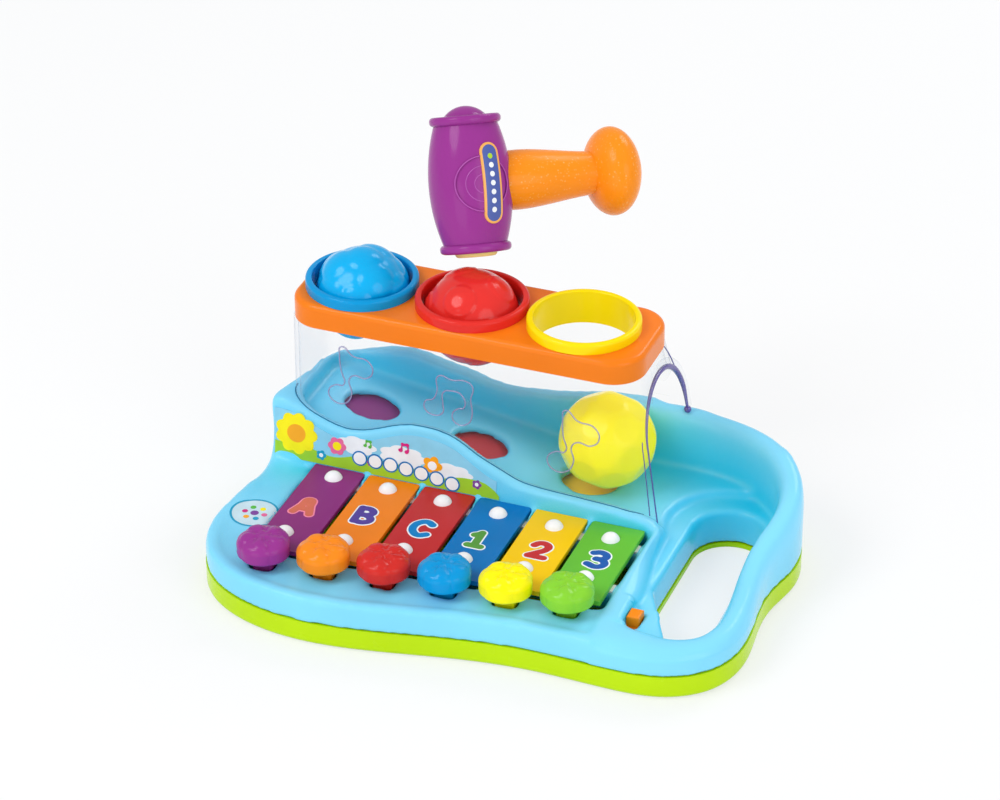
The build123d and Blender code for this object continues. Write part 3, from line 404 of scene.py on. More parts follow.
def drawnMesh(name, outline, closed, smooth, swell=(), **settings):
    # a curve through the places of an outline, as a mesh
    curve = bpy.data.curves.new(name, "CURVE")
    curve.resolution_u = 8
    for key, value in settings.items():
        setattr(curve, key, value)
    line = curve.splines.new("BEZIER" if smooth else "POLY")
    points = line.bezier_points if smooth else line.points
    points.add(len(outline) - 1)
    for point, place in zip(points, outline):
        place = Vector(place).to_3d()
        point.co = place if smooth else (*place, 1)
        if smooth:
            point.handle_left_type = point.handle_right_type = "AUTO"
    for point, factor in zip(points, swell):
        point.radius = factor
    line.use_cyclic_u = closed
    return takeMesh(addObject(name, curve), name)


def flatShape(outline, thickness, smooth=False):
    # a filled outline, drawn in its own plane, as a thin mesh
    return drawnMesh("flatShape", outline, True, smooth, dimensions="2D", fill_mode="BOTH", extrude=thickness / 2)


def softLine(outline, thickness, closed=True, smooth=True, swell=()):
    # a round bead along an outline, thicker or thinner on its way where swell says so
    return drawnMesh("bead", outline, closed, smooth, swell, dimensions="3D", bevel_depth=thickness / 2,
                     bevel_resolution=3, use_fill_caps=True)


def lobedOutline(radius, lobes=0, depth=0.0, steps=96):
    # circle, with rounded lobes on a flower or a cloud
    outline = []
    for step in range(steps):
        turn = 2 * pi * step / steps
        reach = radius * (1 - depth + depth * abs(cos(lobes * turn / 2)))
        outline.append((reach * cos(turn), reach * sin(turn)))
    return outline


def profileAt(share, profile):
    # the height of a line of straight stretches, at a share of its way
    for (near, low), (far, high) in zip(profile, profile[1:]):
        if share <= far:
            return low + (high - low) * (share - near) / (far - near)
    return profile[-1][1]


def surfaceTree(mesh):
    shape = shapeOf(mesh)
    tree = BVHTree.FromBMesh(shape)
    shape.free()
    return tree


def onSurface(tree, place, direction, lift):
    # where a straight look along a direction meets a surface, held a little off it
    hit = tree.ray_cast(Vector(place), Vector(direction))[0]
    return hit - Vector(direction) * lift if hit else None


# Blue shell with the soft edges of a thick moulding

shellForm = {
    "voxel": 1.34 * mm,
    "rounds": 8,    # smoothing of every edge
    "rimRounds": 70,    # heavy rolled rim round the tray
    "rimStart": 74 * mm, "rimFoot": 26 * mm, "rimRise": 31 * mm, "rimDepth": 13 * mm, "rimBelow": 4 * mm,
    # the rim's rise from front to back, in shares of the base's depth and of the whole rise
    "baseDepth": 190.5 * mm,
    "rimLine": ((-0.55, 0.0), (-0.32, 0.016), (-0.2, 0.065), (-0.1, 0.16), (0.0, 0.32), (0.105, 0.516),
                (0.21, 0.71), (0.315, 0.87), (0.42, 0.98), (0.55, 1.0)),
    "calmRounds": 2, "calmRoom": 6 * mm,    # round the sliding catch, which keeps its play
    # boxes that get more rounds, fading towards their sides: shoulder of the panel, stage wall to rim, left side
    "softBoxes": (((-150, -5, 16), (-116, 33, 49), 60), ((46, 69, 37), (120, 108, 74), 60),
                  ((-150, -110, 11), (-128, 70, 72), 30)),
    "stages": 5, "fade": 1.2,
}


def onRim(place, form):
    top = form["rimFoot"] + form["rimRise"] * profileAt(place.y / form["baseDepth"], form["rimLine"])
    return place.x > form["rimStart"] and place.z > max(top - form["rimDepth"], form["rimFoot"] - form["rimBelow"])


def insideBox(shape, low, high):
    return [corner for corner in shape.verts if all(low[axis] < corner.co[axis] < high[axis] for axis in range(3))]


def makeShell(form):
    source = cadNodes["base_top_shell"].data
    shape = shapeOf(evenSkin(source.copy(), form["voxel"], "softShell"))
    rim = [corner for corner in shape.verts if onRim(corner.co, form)]
    low, high = (Vector(corner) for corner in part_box("slide_catch"))
    room = Vector((form["calmRoom"],) * 3)
    calm = set(insideBox(shape, low - room, high + room))
    loose = [corner for corner in shape.verts if corner not in calm]
    for verts, rounds in ((loose, form["rounds"]), (list(calm), form["calmRounds"]), (rim, form["rimRounds"])):
        soften(shape, verts, rounds)
    for low, high, rounds in form["softBoxes"]:
        for stage in range(form["stages"]):
            inset = form["fade"] * stage
            verts = insideBox(shape, [(edge + inset) * mm for edge in low], [(edge - inset) * mm for edge in high])
            soften(shape, verts, rounds // form["stages"])
    hard = surfaceTree(source)
    for corner in calm:
        corner.co = hard.find_nearest(corner.co)[0]
    print("blue shell:", len(shape.faces), "faces")
    return meshOf(shape, "softShell")


blueShell = addPiece("blueShell", makeShell(shellForm), bluePlastic, "base")
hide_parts("base_top_shell")


# Key knobs with a soft domed flower

knobForm = {
    "voxel": 0.5 * mm, "low": 29.0 * mm, "top": 38.8 * mm, "cap": 2.2 * mm, "radius": 13.25 * mm,
    "roundsBefore": 3, "roundsAfter": 2,
    "petals": 5, "turn": 0.3, "sideNotch": 0.05, "dome": 1.2 * mm, "petalRise": 1.3 * mm,
    "buttonRadius": 3.0 * mm, "buttonRise": 0.5 * mm,
}


def knobShift(across, depth, up, form):
    # five petals: notched sides, swelling tops and a small round button in the middle
    reach = hypot(across, depth) / form["radius"]
    turn = atan2(depth, across) + form["turn"]
    petal = sqrt(abs(cos(form["petals"] * turn / 2)))
    inward = 1 - form["sideNotch"] * (1 - petal) * min(1.0, reach) ** 2
    rise = 0.0
    if up > form["top"] - form["cap"] and reach < 1:
        swell = sin(pi * reach) * petal
        button = max(0.0, 1 - (reach * form["radius"] / form["buttonRadius"]) ** 2) ** 0.5
        rise = form["dome"] * (1 - reach ** 2) + form["petalRise"] * (swell - 0.5) + form["buttonRise"] * button
    return across * inward, depth * inward, up + rise


def makeKnob(nodeName, form):
    shape = shapeOf(evenSkin(cadNodes[nodeName].data.copy(), form["voxel"], "softKey"))
    knob = [corner for corner in shape.verts if corner.co.z > form["low"]]
    soften(shape, knob, form["roundsBefore"])
    middle = Vector((0, 0, 0))
    for axis in (0, 1):
        places = [corner.co[axis] for corner in knob]
        middle[axis] = (min(places) + max(places)) / 2
    for corner in knob:
        corner.co = Vector(knobShift(*(corner.co - middle), form)) + middle
    soften(shape, knob, form["roundsAfter"])
    return meshOf(shape, "softKey")


def mergedMesh(nodeName):
    # a copy of a CAD node's mesh, with its loose triangles joined
    shape = shapeOf(cadNodes[nodeName].data)
    bmesh.ops.remove_doubles(shape, verts=shape.verts[:], dist=0.000001)
    return meshOf(shape, "merged")


for barName in barTones:
    nodeName = "key_" + barName
    knob = addPiece("softKey_" + barName, makeKnob(nodeName, knobForm), nodeFinish[nodeName], nodeName)
    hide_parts(nodeName)
for barName in barTones:
    nodeName = "key_spring_" + barName
    spring = addPiece("spring_" + barName, mergedMesh(nodeName), steel, "base")
    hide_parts(nodeName)
    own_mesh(spring)
print("knobs made")


# Balls with moulded relief

ballForm = {
    "radius": 24.5 * mm, "subdivisions": 6, "tilts": ((17, "X"), (24, "Y")),
    # angles in degrees from the nearest of the places spread over the ball
    "discReach": 21.0, "discEdge": 2.2, "discRing": 13.0, "discRise": 0.7 * mm, "ringShare": 0.45,
    "petalReach": 24.0, "petalRise": 1.5 * mm,
    "facetShare": 0.962,
}


def spreadDirections():
    # corners and face middles of an icosahedron
    seed = bmesh.new()
    bmesh.ops.create_icosphere(seed, subdivisions=1, radius=1.0)
    corners = [corner.co.normalized() for corner in seed.verts]
    middles = [face.calc_center_median().normalized() for face in seed.faces]
    seed.free()
    return corners, middles


def angleTo(direction, places):
    return degrees(acos(min(1.0, max(direction.dot(place) for place in places))))


def discHeight(direction, corners, middles, form):
    angle = angleTo(direction, corners)
    step, inner = (min(1.0, max(0.0, (form[edge] - angle) / form["discEdge"])) for edge in ("discReach", "discRing"))
    return form["discRise"] * (step - 1.0) + form["discRise"] * form["ringShare"] * inner


def petalHeight(direction, corners, middles, form):
    swell = cos(pi / 2 * min(1.0, angleTo(direction, middles) / form["petalReach"]))
    return form["petalRise"] * (sqrt(swell) - 1.0)


def facetHeight(direction, corners, middles, form):
    nearest = max(direction.dot(place) for place in corners + middles)
    return min(0.0, form["radius"] * (form["facetShare"] / nearest - 1.0))


def makeBall(colour, relief, rounds):
    form = ballForm
    low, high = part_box("ball_" + colour)
    centre = (Vector(low) + Vector(high)) / 2
    corners, middles = spreadDirections()
    shape = bmesh.new()
    bmesh.ops.create_icosphere(shape, subdivisions=form["subdivisions"], radius=form["radius"])
    tiltX, tiltY = (Matrix.Rotation(radians(turn), 3, axis) for turn, axis in form["tilts"])
    for corner in shape.verts:
        direction = corner.co.normalized()
        corner.co = direction * (form["radius"] + relief(tiltX @ tiltY @ direction, corners, middles, form))
    soften(shape, shape.verts[:], rounds)
    bmesh.ops.translate(shape, verts=shape.verts[:], vec=centre)
    ball = addPiece("ball" + colour.title(), meshOf(shape, "ball"), ballPlastics[colour], "ball_" + colour)
    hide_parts("ball_" + colour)


makeBall("blue", petalHeight, 3)
makeBall("red", discHeight, 1)
makeBall("yellow", facetHeight, 2)
print("balls made")


# Notes in relief on the clear front wall, and the tinted edge of the exit arch

noteForm = {
    "wall": 23.25 * mm, "rise": 0.7 * mm, "bead": 0.8 * mm,
    # kind, place along and up the wall, size and turn of each
    "places": (("single", -93, 79, 33, 4), ("pair", -39, 77, 29, -3), ("single", 25, 66, 36, 2)),
}
# outlines in shares of the note's height
noteOutlines = {
    "single": ((-0.06, 0.5), (0.12, 0.36), (0.36, 0.3), (0.42, 0.12), (0.3, 0.0), (0.1, 0.02), (0.02, -0.06),
               (0.04, -0.3), (-0.08, -0.48), (-0.28, -0.46), (-0.34, -0.3), (-0.22, -0.18), (-0.08, -0.16),
               (-0.1, 0.1), (-0.1, 0.34)),
    "pair": ((-0.2, 0.42), (0.04, 0.4), (0.3, 0.44), (0.42, 0.36), (0.4, 0.1), (0.44, -0.2), (0.36, -0.4),
             (0.16, -0.44), (0.08, -0.28), (0.18, -0.14), (0.28, -0.1), (0.24, 0.14), (0.02, 0.18),
             (-0.1, 0.12), (-0.1, -0.1), (-0.1, -0.3), (-0.26, -0.38), (-0.42, -0.3), (-0.42, -0.14),
             (-0.28, -0.06), (-0.22, 0.1)),
}
clearNote = clearPlastic("clearNote", face=paint(214, 216, 236), edge=paint(120, 105, 185), faceAlpha=0.03,
                         edgeAlpha=0.5, steepness=2.5, rough=0.06)
clearBead = clearPlastic("clearBead", face=paint(180, 178, 218), edge=paint(74, 68, 150), faceAlpha=0.42,
                         edgeAlpha=0.95, steepness=1.0, rough=0.08)
archEdge = clearPlastic("archEdge", face=paint(112, 88, 186), edge=paint(58, 38, 132), faceAlpha=0.6,
                        edgeAlpha=0.98, steepness=0.7, rough=0.12)
# dark teal ink for the painted shadow in the gap under the clear wall
seamShadowInk = printedInk("housingSeamShadow", paint(12, 116, 156), rough=0.5)


def noteOutline(kind, size):
    return [(size * wide, size * tall) for wide, tall in noteOutlines[kind]]


def frontWallPlace(across, up, wall, turn):
    # a drawing plane that stands on the front wall, turned by some degrees in it
    return Matrix.Translation((across, wall, up)) @ Matrix.Rotation(radians(90), 4, "X") \
        @ Matrix.Rotation(radians(turn), 4, "Z")


for number, (kind, across, up, size, turn) in enumerate(noteForm["places"], 1):
    outline = noteOutline(kind, size * mm)
    plate = flatShape(outline, noteForm["rise"], smooth=True)
    bead = softLine(outline, noteForm["bead"])
    for name, mesh, look, depth in (("notePlate", plate, clearNote, 0.5), ("noteBead", bead, clearBead, 1.0)):
        mesh.transform(frontWallPlace(across * mm, up * mm, noteForm["wall"] - depth * noteForm["rise"], turn))
        addPiece("%s%d" % (name, number), mesh, look, "base")

archForm = {
    "frontFoot": 26.2 * mm, "frontSpring": 29.4 * mm, "back": 86.7 * mm, "foot": 27 * mm, "backFoot": 57.5 * mm,
    "top": 93 * mm, "steps": 28, "legSteps": 8, "bead": 2.0 * mm, "away": 130 * mm,
    "swell": ((0.0, 0.35), (0.2, 0.4), (0.45, 0.9), (0.75, 1.6), (0.9, 1.3), (1.0, 0.7)),
    "flange": 4.5 * mm, "flangeThick": 1.4 * mm, "peg": 1.9 * mm,
    "legBand": 2.2 * mm, "legLine": 0.55 * mm, "legLift": 0.2 * mm, "legTop": 3,
    "cornerLine": ((69.0, 102.5), (71.8, 99.0), (75.4, 93.2), (78.4, 87.0), (80.8, 81.5)), "cornerWidth": 0.7 * mm,
    "wallRight": 56.5 * mm, "wallTop": 102.5 * mm, "wallLean": 10.0,
}
housingTree = surfaceTree(cadNodes["clear_housing"].data)
shellTree = surfaceTree(blueShell.data)


def rightWallPlace(form):
    # a drawing plane in the leaning right wall, with depth across and up along its slope
    lean = radians(form["wallLean"])
    turn = Matrix(((0, -sin(lean), cos(lean)), (1, 0, 0), (0, cos(lean), sin(lean))))
    return Matrix.Translation((form["wallRight"], 0, form["wallTop"])) @ turn.to_4x4()


def onWallPlane(path, form):
    lean = radians(form["wallLean"])
    return [(depth, (up - form["wallTop"]) / cos(lean)) for depth, up in path]


def archLine(form, grow):
    # the exit's outline on that plane: front leg, and round top with a short back leg
    front, back = form["frontSpring"] - grow, form["back"] + grow
    radius, middle = (back - front) / 2, (back + front) / 2
    spring = form["top"] + grow - radius
    foot = form["frontFoot"] - grow
    leg, top = [], []
    for step in range(form["legSteps"]):
        leg.append((foot + (front - foot) * step / form["legSteps"],
                    form["foot"] + (spring - form["foot"]) * step / form["legSteps"]))
    for step in range(form["steps"] + 1):
        turn = pi * step / form["steps"]
        top.append((middle - radius * cos(turn), spring + radius * sin(turn)))
    return leg, top + [(back, form["backFoot"])]


def makeArchEdge(form, line):
    # fine up the front leg, heavy down the back one, where it ends in a small peg
    swell = [profileAt(step / (len(line) - 1), form["swell"]) for step in range(len(line))]
    shape = shapeOf(softLine(line, form["bead"], closed=False, smooth=False, swell=swell))
    bmesh.ops.create_icosphere(shape, subdivisions=3, radius=form["peg"], matrix=Matrix.Translation((*line[-1], 0)))
    return meshOf(shape, "archEdge")


archLeg, archTop = archLine(archForm, 0.0)
# a clear flange in the same plane carries that edge where the wall turns away round the corner
outerTop = archLine(archForm, archForm["flange"])[1]
half = archForm["steps"] // 2
flangeLine = onWallPlane(archTop[half:] + outerTop[:half - 1:-1], archForm)
cornerPath = onWallPlane([(depth * mm, up * mm) for depth, up in archForm["cornerLine"]], archForm)
for name, mesh, look in (
        ("archEdge", makeArchEdge(archForm, onWallPlane(archLeg + archTop, archForm)), archEdge),
        ("archFlange", flatShape(flangeLine, archForm["flangeThick"]), clearWall),
        ("cornerLine", softLine(cornerPath, archForm["cornerWidth"], closed=False), archEdge)):
    mesh.transform(rightWallPlace(archForm))
    addPiece(name, mesh, look, "base")


def laidLine(places, width):
    # a fine line through the places found on a surface
    return softLine([place for place in places if place], width, closed=False, smooth=False)


# the front leg of the exit shows as a narrow band, so a fine line runs beside its edge
legPlaces = [onSurface(housingTree, (archForm["away"], depth - archForm["legBand"], up), (-1, 0, 0),
                       -archForm["legLift"]) for depth, up in archLeg + archTop[:archForm["legTop"]]]
addPiece("legLine", laidLine(legPlaces, archForm["legLine"]), archEdge, "base")

# painted shadow: a dark line where the clear wall stands on the wavy ledge, for the shade in the gap; both its ends
# turn round a corner
seamForm = {"left": -127.0 * mm, "front": 23.25 * mm, "corner": 15 * mm, "right": 54.5 * mm, "outside": 0.25 * mm,
            "line": 0.7 * mm, "above": 100 * mm, "steps": 60, "leftTurns": range(180, 262, 9),
            "rightTurns": range(278, 311, 8)}


def arc(across, depth, reach, turns):
    return [(across + reach * cos(radians(turn)), depth + reach * sin(radians(turn))) for turn in turns]


def seamPath(form):
    reach, depth = form["corner"] + form["outside"], form["front"] + form["corner"]
    left = arc(form["left"] + form["corner"], depth, reach, form["leftTurns"])
    start = left[-1][0]
    straight = [(start + (form["right"] - start) * step / form["steps"], form["front"] - form["outside"])
                for step in range(1, form["steps"] + 1)]
    return left + straight + arc(form["right"], depth, reach, form["rightTurns"])


seamPlaces = [onSurface(shellTree, (across, depth, seamForm["above"]), (0, 0, -1), 0.0)
              for across, depth in seamPath(seamForm)]
addPiece("housingSeamShadow", laidLine(seamPlaces, seamForm["line"]), seamShadowInk, "base")
print("housing relief made")


# Printed panel label: hills, clouds and flowers

panelForm = {
    "corner": (-139.5 * mm, 17.75 * mm, 26 * mm), "lean": 6.32, "skin": 0.37 * mm, "layer": 0.06 * mm,
    "film": 0.1 * mm, "cloudLobes": 7, "cloudDepth": 0.16,
}
hillForm = {
    "left": 7.6 * mm, "right": 129 * mm, "foot": 1.5 * mm, "rise": 7.4 * mm, "wave": 1.5 * mm, "steps": 48,
    "end": 9 * mm, "least": 0.05,                     # the right end falls away, but not to nothing
    "waves": ((1.0, 0.11, 0.6), (0.5, 0.23, 1.9)),    # size, pitch and start of each
}
inks = {name: printedInk("ink" + name[0].upper() + name[1:], paint(*tone)) for name, tone in {
    "sky": (140, 212, 240), "hill": (160, 212, 50), "cloud": (238, 248, 252), "sunny": (254, 238, 10),
    "amber": (250, 170, 30), "pink": (236, 110, 160), "magenta": (214, 40, 130), "leaf": (90, 190, 70),
    "teal": (20, 160, 200), "violet": (130, 70, 160), "blue": (0, 120, 190), "white": (242, 250, 252),
    "salmon": (216, 110, 88), "rose": (248, 140, 170), "indigo": (86, 66, 156), "digitBlue": (0, 130, 200),
    "digitGreen": (88, 156, 62), "digitRed": (200, 46, 50), "royal": (0, 88, 176), "pale": (204, 230, 240),
}.items()}
finishNode("panel_label", inks["sky"])
finishNode("round_label", inks["teal"])


def printShape(name, outline, ink, across, up, layer, smooth=False):
    # across from the panel's left end and up its slope, both in mm, and which printed layer
    form = panelForm
    mesh = flatShape(outline, form["film"], smooth=smooth)
    mesh.transform(Matrix.Translation(form["corner"]) @ Matrix.Rotation(radians(90 - form["lean"]), 4, "X")
                   @ Matrix.Translation((across * mm, up * mm, form["skin"] + layer * form["layer"])))
    addPiece(name, mesh, inks[ink], "base")


def hillOutline(form):
    left, right, foot = form["left"], form["right"], form["foot"]
    outline = [(left, foot), (right, foot)]
    for step in range(form["steps"] + 1):
        across = right + (left - right) * step / form["steps"]
        wave = sum(size * sin(across / mm * pitch + start) for size, pitch, start in form["waves"])
        fall = sqrt(max(form["least"], min(1.0, (right - across) / form["end"])))
        outline.append((across, foot + (form["rise"] + wave * form["wave"]) * fall))
    return outline


printShape("hills", hillOutline(hillForm), "hill", 0, 0, 1)
clouds = ((52, 15.5, 11, 5), (77, 14.5, 13, 6), (103, 11.0, 12, 5))
for number, (across, up, wide, tall) in enumerate(clouds, 1):
    ring = lobedOutline(10 * mm, panelForm["cloudLobes"], panelForm["cloudDepth"])
    printShape("cloud%d" % number, [(x * wide / 10, y * tall / 10) for x, y in ring], "cloud", across, up, 0)
flowers = (
    ("sunnyFlower", 19.2, 15.8, 11.6, 9, 0.16, "sunny", 5.0, "amber"),
    ("pinkFlower", 41.5, 13.2, 5.0, 6, 0.2, "pink", 2.3, "sunny"),
    ("amberFlower", 93.0, 13.0, 5.4, 5, 0.3, "amber", 2.4, "white"),
    ("violetFlower", 117.0, 7.6, 2.6, 5, 0.28, "violet", 1.0, "white"),
    ("tealFlower", 33.0, 6.4, 2.8, 5, 0.28, "teal", 1.1, "white"),
    ("rosyFlower", 60.0, 8.0, 2.4, 6, 0.25, "magenta", 1.0, "sunny"),
)
for name, across, up, radius, lobes, depth, ink, heart, heartInk in flowers:
    printShape(name, lobedOutline(radius * mm, lobes, depth), ink, across, up, 2)
    printShape(name + "Heart", lobedOutline(heart * mm, steps=64), heartInk, across, up, 3)
# a garland of white discs with blue rims crosses the middle of the panel
garland = {"count": 7, "left": 54, "right": 104, "high": 9.0, "low": 5.2, "bow": 1.2, "radius": 3.3, "rim": 0.8}
for index in range(garland["count"]):
    share = index / (garland["count"] - 1)
    across = garland["left"] + (garland["right"] - garland["left"]) * share
    up = garland["high"] + (garland["low"] - garland["high"]) * share + garland["bow"] * sin(pi * share)
    for layer, grow, ink in ((4, garland["rim"], "blue"), (5, 0.0, "white")):
        ring = lobedOutline((garland["radius"] + grow) * mm, steps=64)
        printShape("garland%s%d" % (ink.title(), index + 1), ring, ink, across, up, layer)
smallNotes = (("noteMagenta", 77.5, 19.6, 6.5, "magenta"), ("noteLeaf", 58.0, 17.8, 5.0, "leaf"))
for name, across, up, size, ink in smallNotes:
    printShape(name, noteOutline("pair", size * mm), ink, across, up, 4, smooth=True)

# Round floor label: a blue ring round a pale disc with a rosette of dots, laid over the dished floor
roundForm = {
    "centre": (-121.2 * mm, -32.2 * mm), "radius": 12.4 * mm, "ring": 1.1 * mm, "cutRight": -111.6 * mm,
    "above": 60 * mm, "film": 0.07 * mm, "layer": 0.05 * mm, "spokeSteps": 10, "steps": 64, "rosette": 5.2 * mm,
    "dot": 1.5 * mm, "heart": 1.4,
}


def drapedRing(name, centre, inner, outer, ink, layer):
    # a ring or a disc, spun flat and let down onto the floor
    form = roundForm
    shape = bmesh.new()
    spoke = [shape.verts.new((centre[0] + inner + (outer - inner) * step / form["spokeSteps"], centre[1], 0))
             for step in range(form["spokeSteps"] + 1)]
    for pair in zip(spoke, spoke[1:]):
        shape.edges.new(pair)
    bmesh.ops.spin(shape, geom=shape.verts[:] + shape.edges[:], cent=(*centre, 0), axis=(0, 0, 1),
                   angle=2 * pi, steps=form["steps"], use_merge=True)
    bmesh.ops.remove_doubles(shape, verts=shape.verts[:], dist=0.00001)
    bmesh.ops.bisect_plane(shape, geom=shape.verts[:] + shape.edges[:] + shape.faces[:], dist=0.000001,
                           plane_co=(form["cutRight"], 0, 0), plane_no=(1, 0, 0), clear_outer=True)
    bmesh.ops.recalc_face_normals(shape, faces=shape.faces[:])
    if sum(face.normal.z for face in shape.faces) < 0:
        bmesh.ops.reverse_faces(shape, faces=shape.faces[:])
    missed = []
    for corner in shape.verts:
        place = onSurface(shellTree, (corner.co.x, corner.co.y, form["above"]), (0, 0, -1),
                          form["film"] + layer * form["layer"])
        if place:
            corner.co = place
        else:
            missed.append(corner)
    bmesh.ops.delete(shape, geom=missed, context="VERTS")
    return addPiece(name, meshOf(shape, "drapedRing"), inks[ink], "base")


centre, radius, ring, dot = (roundForm[key] for key in ("centre", "radius", "ring", "dot"))
roundPale = drapedRing("roundPale", centre, 0, radius - ring / 2, "pale", 0)
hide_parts("round_label")
drapedRing("roundRing", centre, radius - ring, radius, "teal", 1)
rosetteInks = ("pink", "sunny", "leaf", "magenta", "amber", "teal")
places = lobedOutline(roundForm["rosette"], steps=len(rosetteInks))
for number, (ink, (across, up)) in enumerate(zip(rosetteInks, places), 1):
    drapedRing("roundDot%d" % number, (centre[0] + across, centre[1] + up), 0, dot, ink, 1)
drapedRing("roundHeart", centre, 0, dot * roundForm["heart"], "violet", 1)
print("labels printed")


# Letters and numbers on the bars

letterForm = {
    "height": 12.6 * mm, "width": 10.4 * mm, "stroke": 2.05 * mm, "rim": 0.75 * mm, "voxel": 0.22 * mm,
    "barTop": 27.0 * mm, "film": 0.05, "rimLift": 0.02 * mm, "fillLift": 0.14 * mm,
}
# strokes in shares of the letter's width and height
letterStrokes = {
    "A": (((0.08, 0.0), (0.28, 0.5), (0.5, 0.98), (0.72, 0.5), (0.92, 0.0)), ((0.24, 0.3), (0.76, 0.3))),
    "B": (((0.16, 0.0), (0.16, 0.5), (0.16, 1.0)), ((0.16, 0.98), (0.6, 0.98), (0.8, 0.78), (0.6, 0.56), (0.2, 0.53)),
          ((0.2, 0.53), (0.66, 0.5), (0.9, 0.26), (0.66, 0.02), (0.16, 0.02))),
    "C": (((0.88, 0.86), (0.56, 1.0), (0.24, 0.86), (0.08, 0.5), (0.24, 0.14), (0.56, 0.0), (0.88, 0.14)),),
    "1": (((0.28, 0.78), (0.46, 0.88), (0.56, 1.0)), ((0.56, 1.0), (0.56, 0.5), (0.56, 0.04)),
          ((0.24, 0.04), (0.56, 0.04), (0.88, 0.04))),
    "2": (((0.14, 0.78), (0.3, 0.95), (0.56, 1.0), (0.82, 0.84), (0.78, 0.6), (0.46, 0.3), (0.14, 0.04)),
          ((0.14, 0.03), (0.5, 0.03), (0.9, 0.03))),
    "3": (((0.14, 0.9), (0.5, 1.0), (0.8, 0.8), (0.66, 0.57), (0.4, 0.53)),
          ((0.4, 0.53), (0.74, 0.48), (0.9, 0.25), (0.6, 0.0), (0.12, 0.1))),
}
letters = (
    ("A", (-98.3, -21.0), "salmon", "rose"), ("B", (-67.7, -18.6), "indigo", "white"),
    ("C", (-37.0, -19.4), "digitBlue", "white"), ("1", (-8.2, -19.0), "digitGreen", "white"),
    ("2", (23.8, -17.2), "digitRed", "white"), ("3", (53.4, -14.8), "royal", "white"),
)


def plumpLetter(strokes, reach, form):
    # round strokes with ball ends, grown together and still round
    shape = bmesh.new()
    for stroke in strokes:
        line = [((across - 0.5) * form["width"], (up - 0.5) * form["height"]) for across, up in stroke]
        shape.from_mesh(softLine(line, 2 * reach, closed=False))
        for place in (line[0], line[-1]):
            bmesh.ops.create_icosphere(shape, subdivisions=3, radius=reach, matrix=Matrix.Translation((*place, 0)))
    return evenSkin(meshOf(shape, "letter"), form["voxel"], "letter")


for sign, (across, depth), fillInk, rimInk in letters:
    form = letterForm
    for part, grow, ink, lift in (("Rim", form["rim"], rimInk, form["rimLift"]),
                                  ("Fill", 0.0, fillInk, form["fillLift"])):
        mesh = plumpLetter(letterStrokes[sign], form["stroke"] + grow, form)
        mesh.transform(Matrix.Translation((across * mm, depth * mm, form["barTop"] + lift))
                       @ Matrix.Diagonal((1, 1, form["film"], 1)))
        addPiece("letter" + sign + part, mesh, inks[ink], "base")
print("letters printed")


# Hammer plate: a printed stadium that follows the barrel

hammerForm = {
    "ball": (-38.0 * mm, 52.75 * mm, 108.4 * mm), "lift": 65.4 * mm, "handleShift": 4.4 * mm, "sideShift": -1.5 * mm,
    "headLean": (-0.24, 0.39, 0.89), "handleLean": (0.76, 0.64, -0.08), "plateTurn": 13.0,
    "plateLength": 40.0 * mm, "plateWidth": 10.2 * mm, "border": 1.1 * mm, "dotPitch": 4.4 * mm,
    "dotRadius": 1.35 * mm, "dotsFrom": 3.5, "greenFrom": 2.5,    # the row's end and the green dot, in pitches
    "borderTone": paint(248, 176, 84), "groundTone": paint(72, 92, 168), "dotTone": paint(244, 246, 248),
    "greenTone": paint(176, 214, 40), "rough": (700.0, 0.3, 0.4),
}


def hammerAxes(form):
    head = Vector(form["headLean"]).normalized()
    handle = Vector(form["handleLean"])
    handle = (handle - head * head.dot(handle)).normalized()
    side = handle.cross(head)
    middle = Vector(form["ball"]) + head * form["lift"] + handle * form["handleShift"] - side * form["sideShift"]
    return head, handle, side, middle


def plateInk(form):
    # border, ground and a row of dots, all measured in the plate's own plane
    head, handle, side, middle = hammerAxes(form)
    outward = Matrix.Rotation(radians(form["plateTurn"]), 3, head) @ side
    turn = Matrix((head, outward.cross(head), outward)).transposed()
    material, tree, shader = newMaterial("plateInk")
    local = addNode(tree, "ShaderNodeMapping", vector_type="TEXTURE", Location=middle, Rotation=turn.to_euler())
    link(ownPlace(tree), local.inputs["Vector"])
    split = addNode(tree, "ShaderNodeSeparateXYZ")
    link(local.outputs["Vector"], split.inputs["Vector"])
    along, across = split.outputs["X"], split.outputs["Y"]

    def reckon(operation, *values):
        step = addNode(tree, "ShaderNodeMath", operation=operation)
        for socket, value in zip(step.inputs, values):
            if isinstance(value, float):
                socket.default_value = value
            else:
                link(value, socket)
        return step.outputs[0]

    def distance(first, second):
        return reckon("SQRT", reckon("ADD", reckon("MULTIPLY", first, first), reckon("MULTIPLY", second, second)))

    away = reckon("ABSOLUTE", along)
    straight = (form["plateLength"] - form["plateWidth"]) / 2
    past = reckon("MAXIMUM", reckon("SUBTRACT", away, straight), 0.0)
    isBorder = reckon("GREATER_THAN", distance(past, across), form["plateWidth"] / 2 - form["border"])
    cell = reckon("PINGPONG", along, form["dotPitch"] / 2)
    isDot = reckon("MULTIPLY", reckon("LESS_THAN", distance(cell, across), form["dotRadius"]),
                   reckon("LESS_THAN", away, form["dotsFrom"] * form["dotPitch"]))
    isGreen = reckon("GREATER_THAN", along, form["greenFrom"] * form["dotPitch"])
    dots = addTwoTone(tree, isGreen, form["dotTone"], form["greenTone"])
    ground = addTwoTone(tree, isDot, form["groundTone"], form["dotTone"])
    link(dots, ground.node.inputs[7])
    tone = addTwoTone(tree, isBorder, form["groundTone"], form["borderTone"])
    link(ground, tone.node.inputs[6])
    link(tone, shader.inputs["Base Color"])
    addRoughness(tree, shader, *form["rough"])
    addSkin(tree, shader, *inkLook["skin"])
    return material


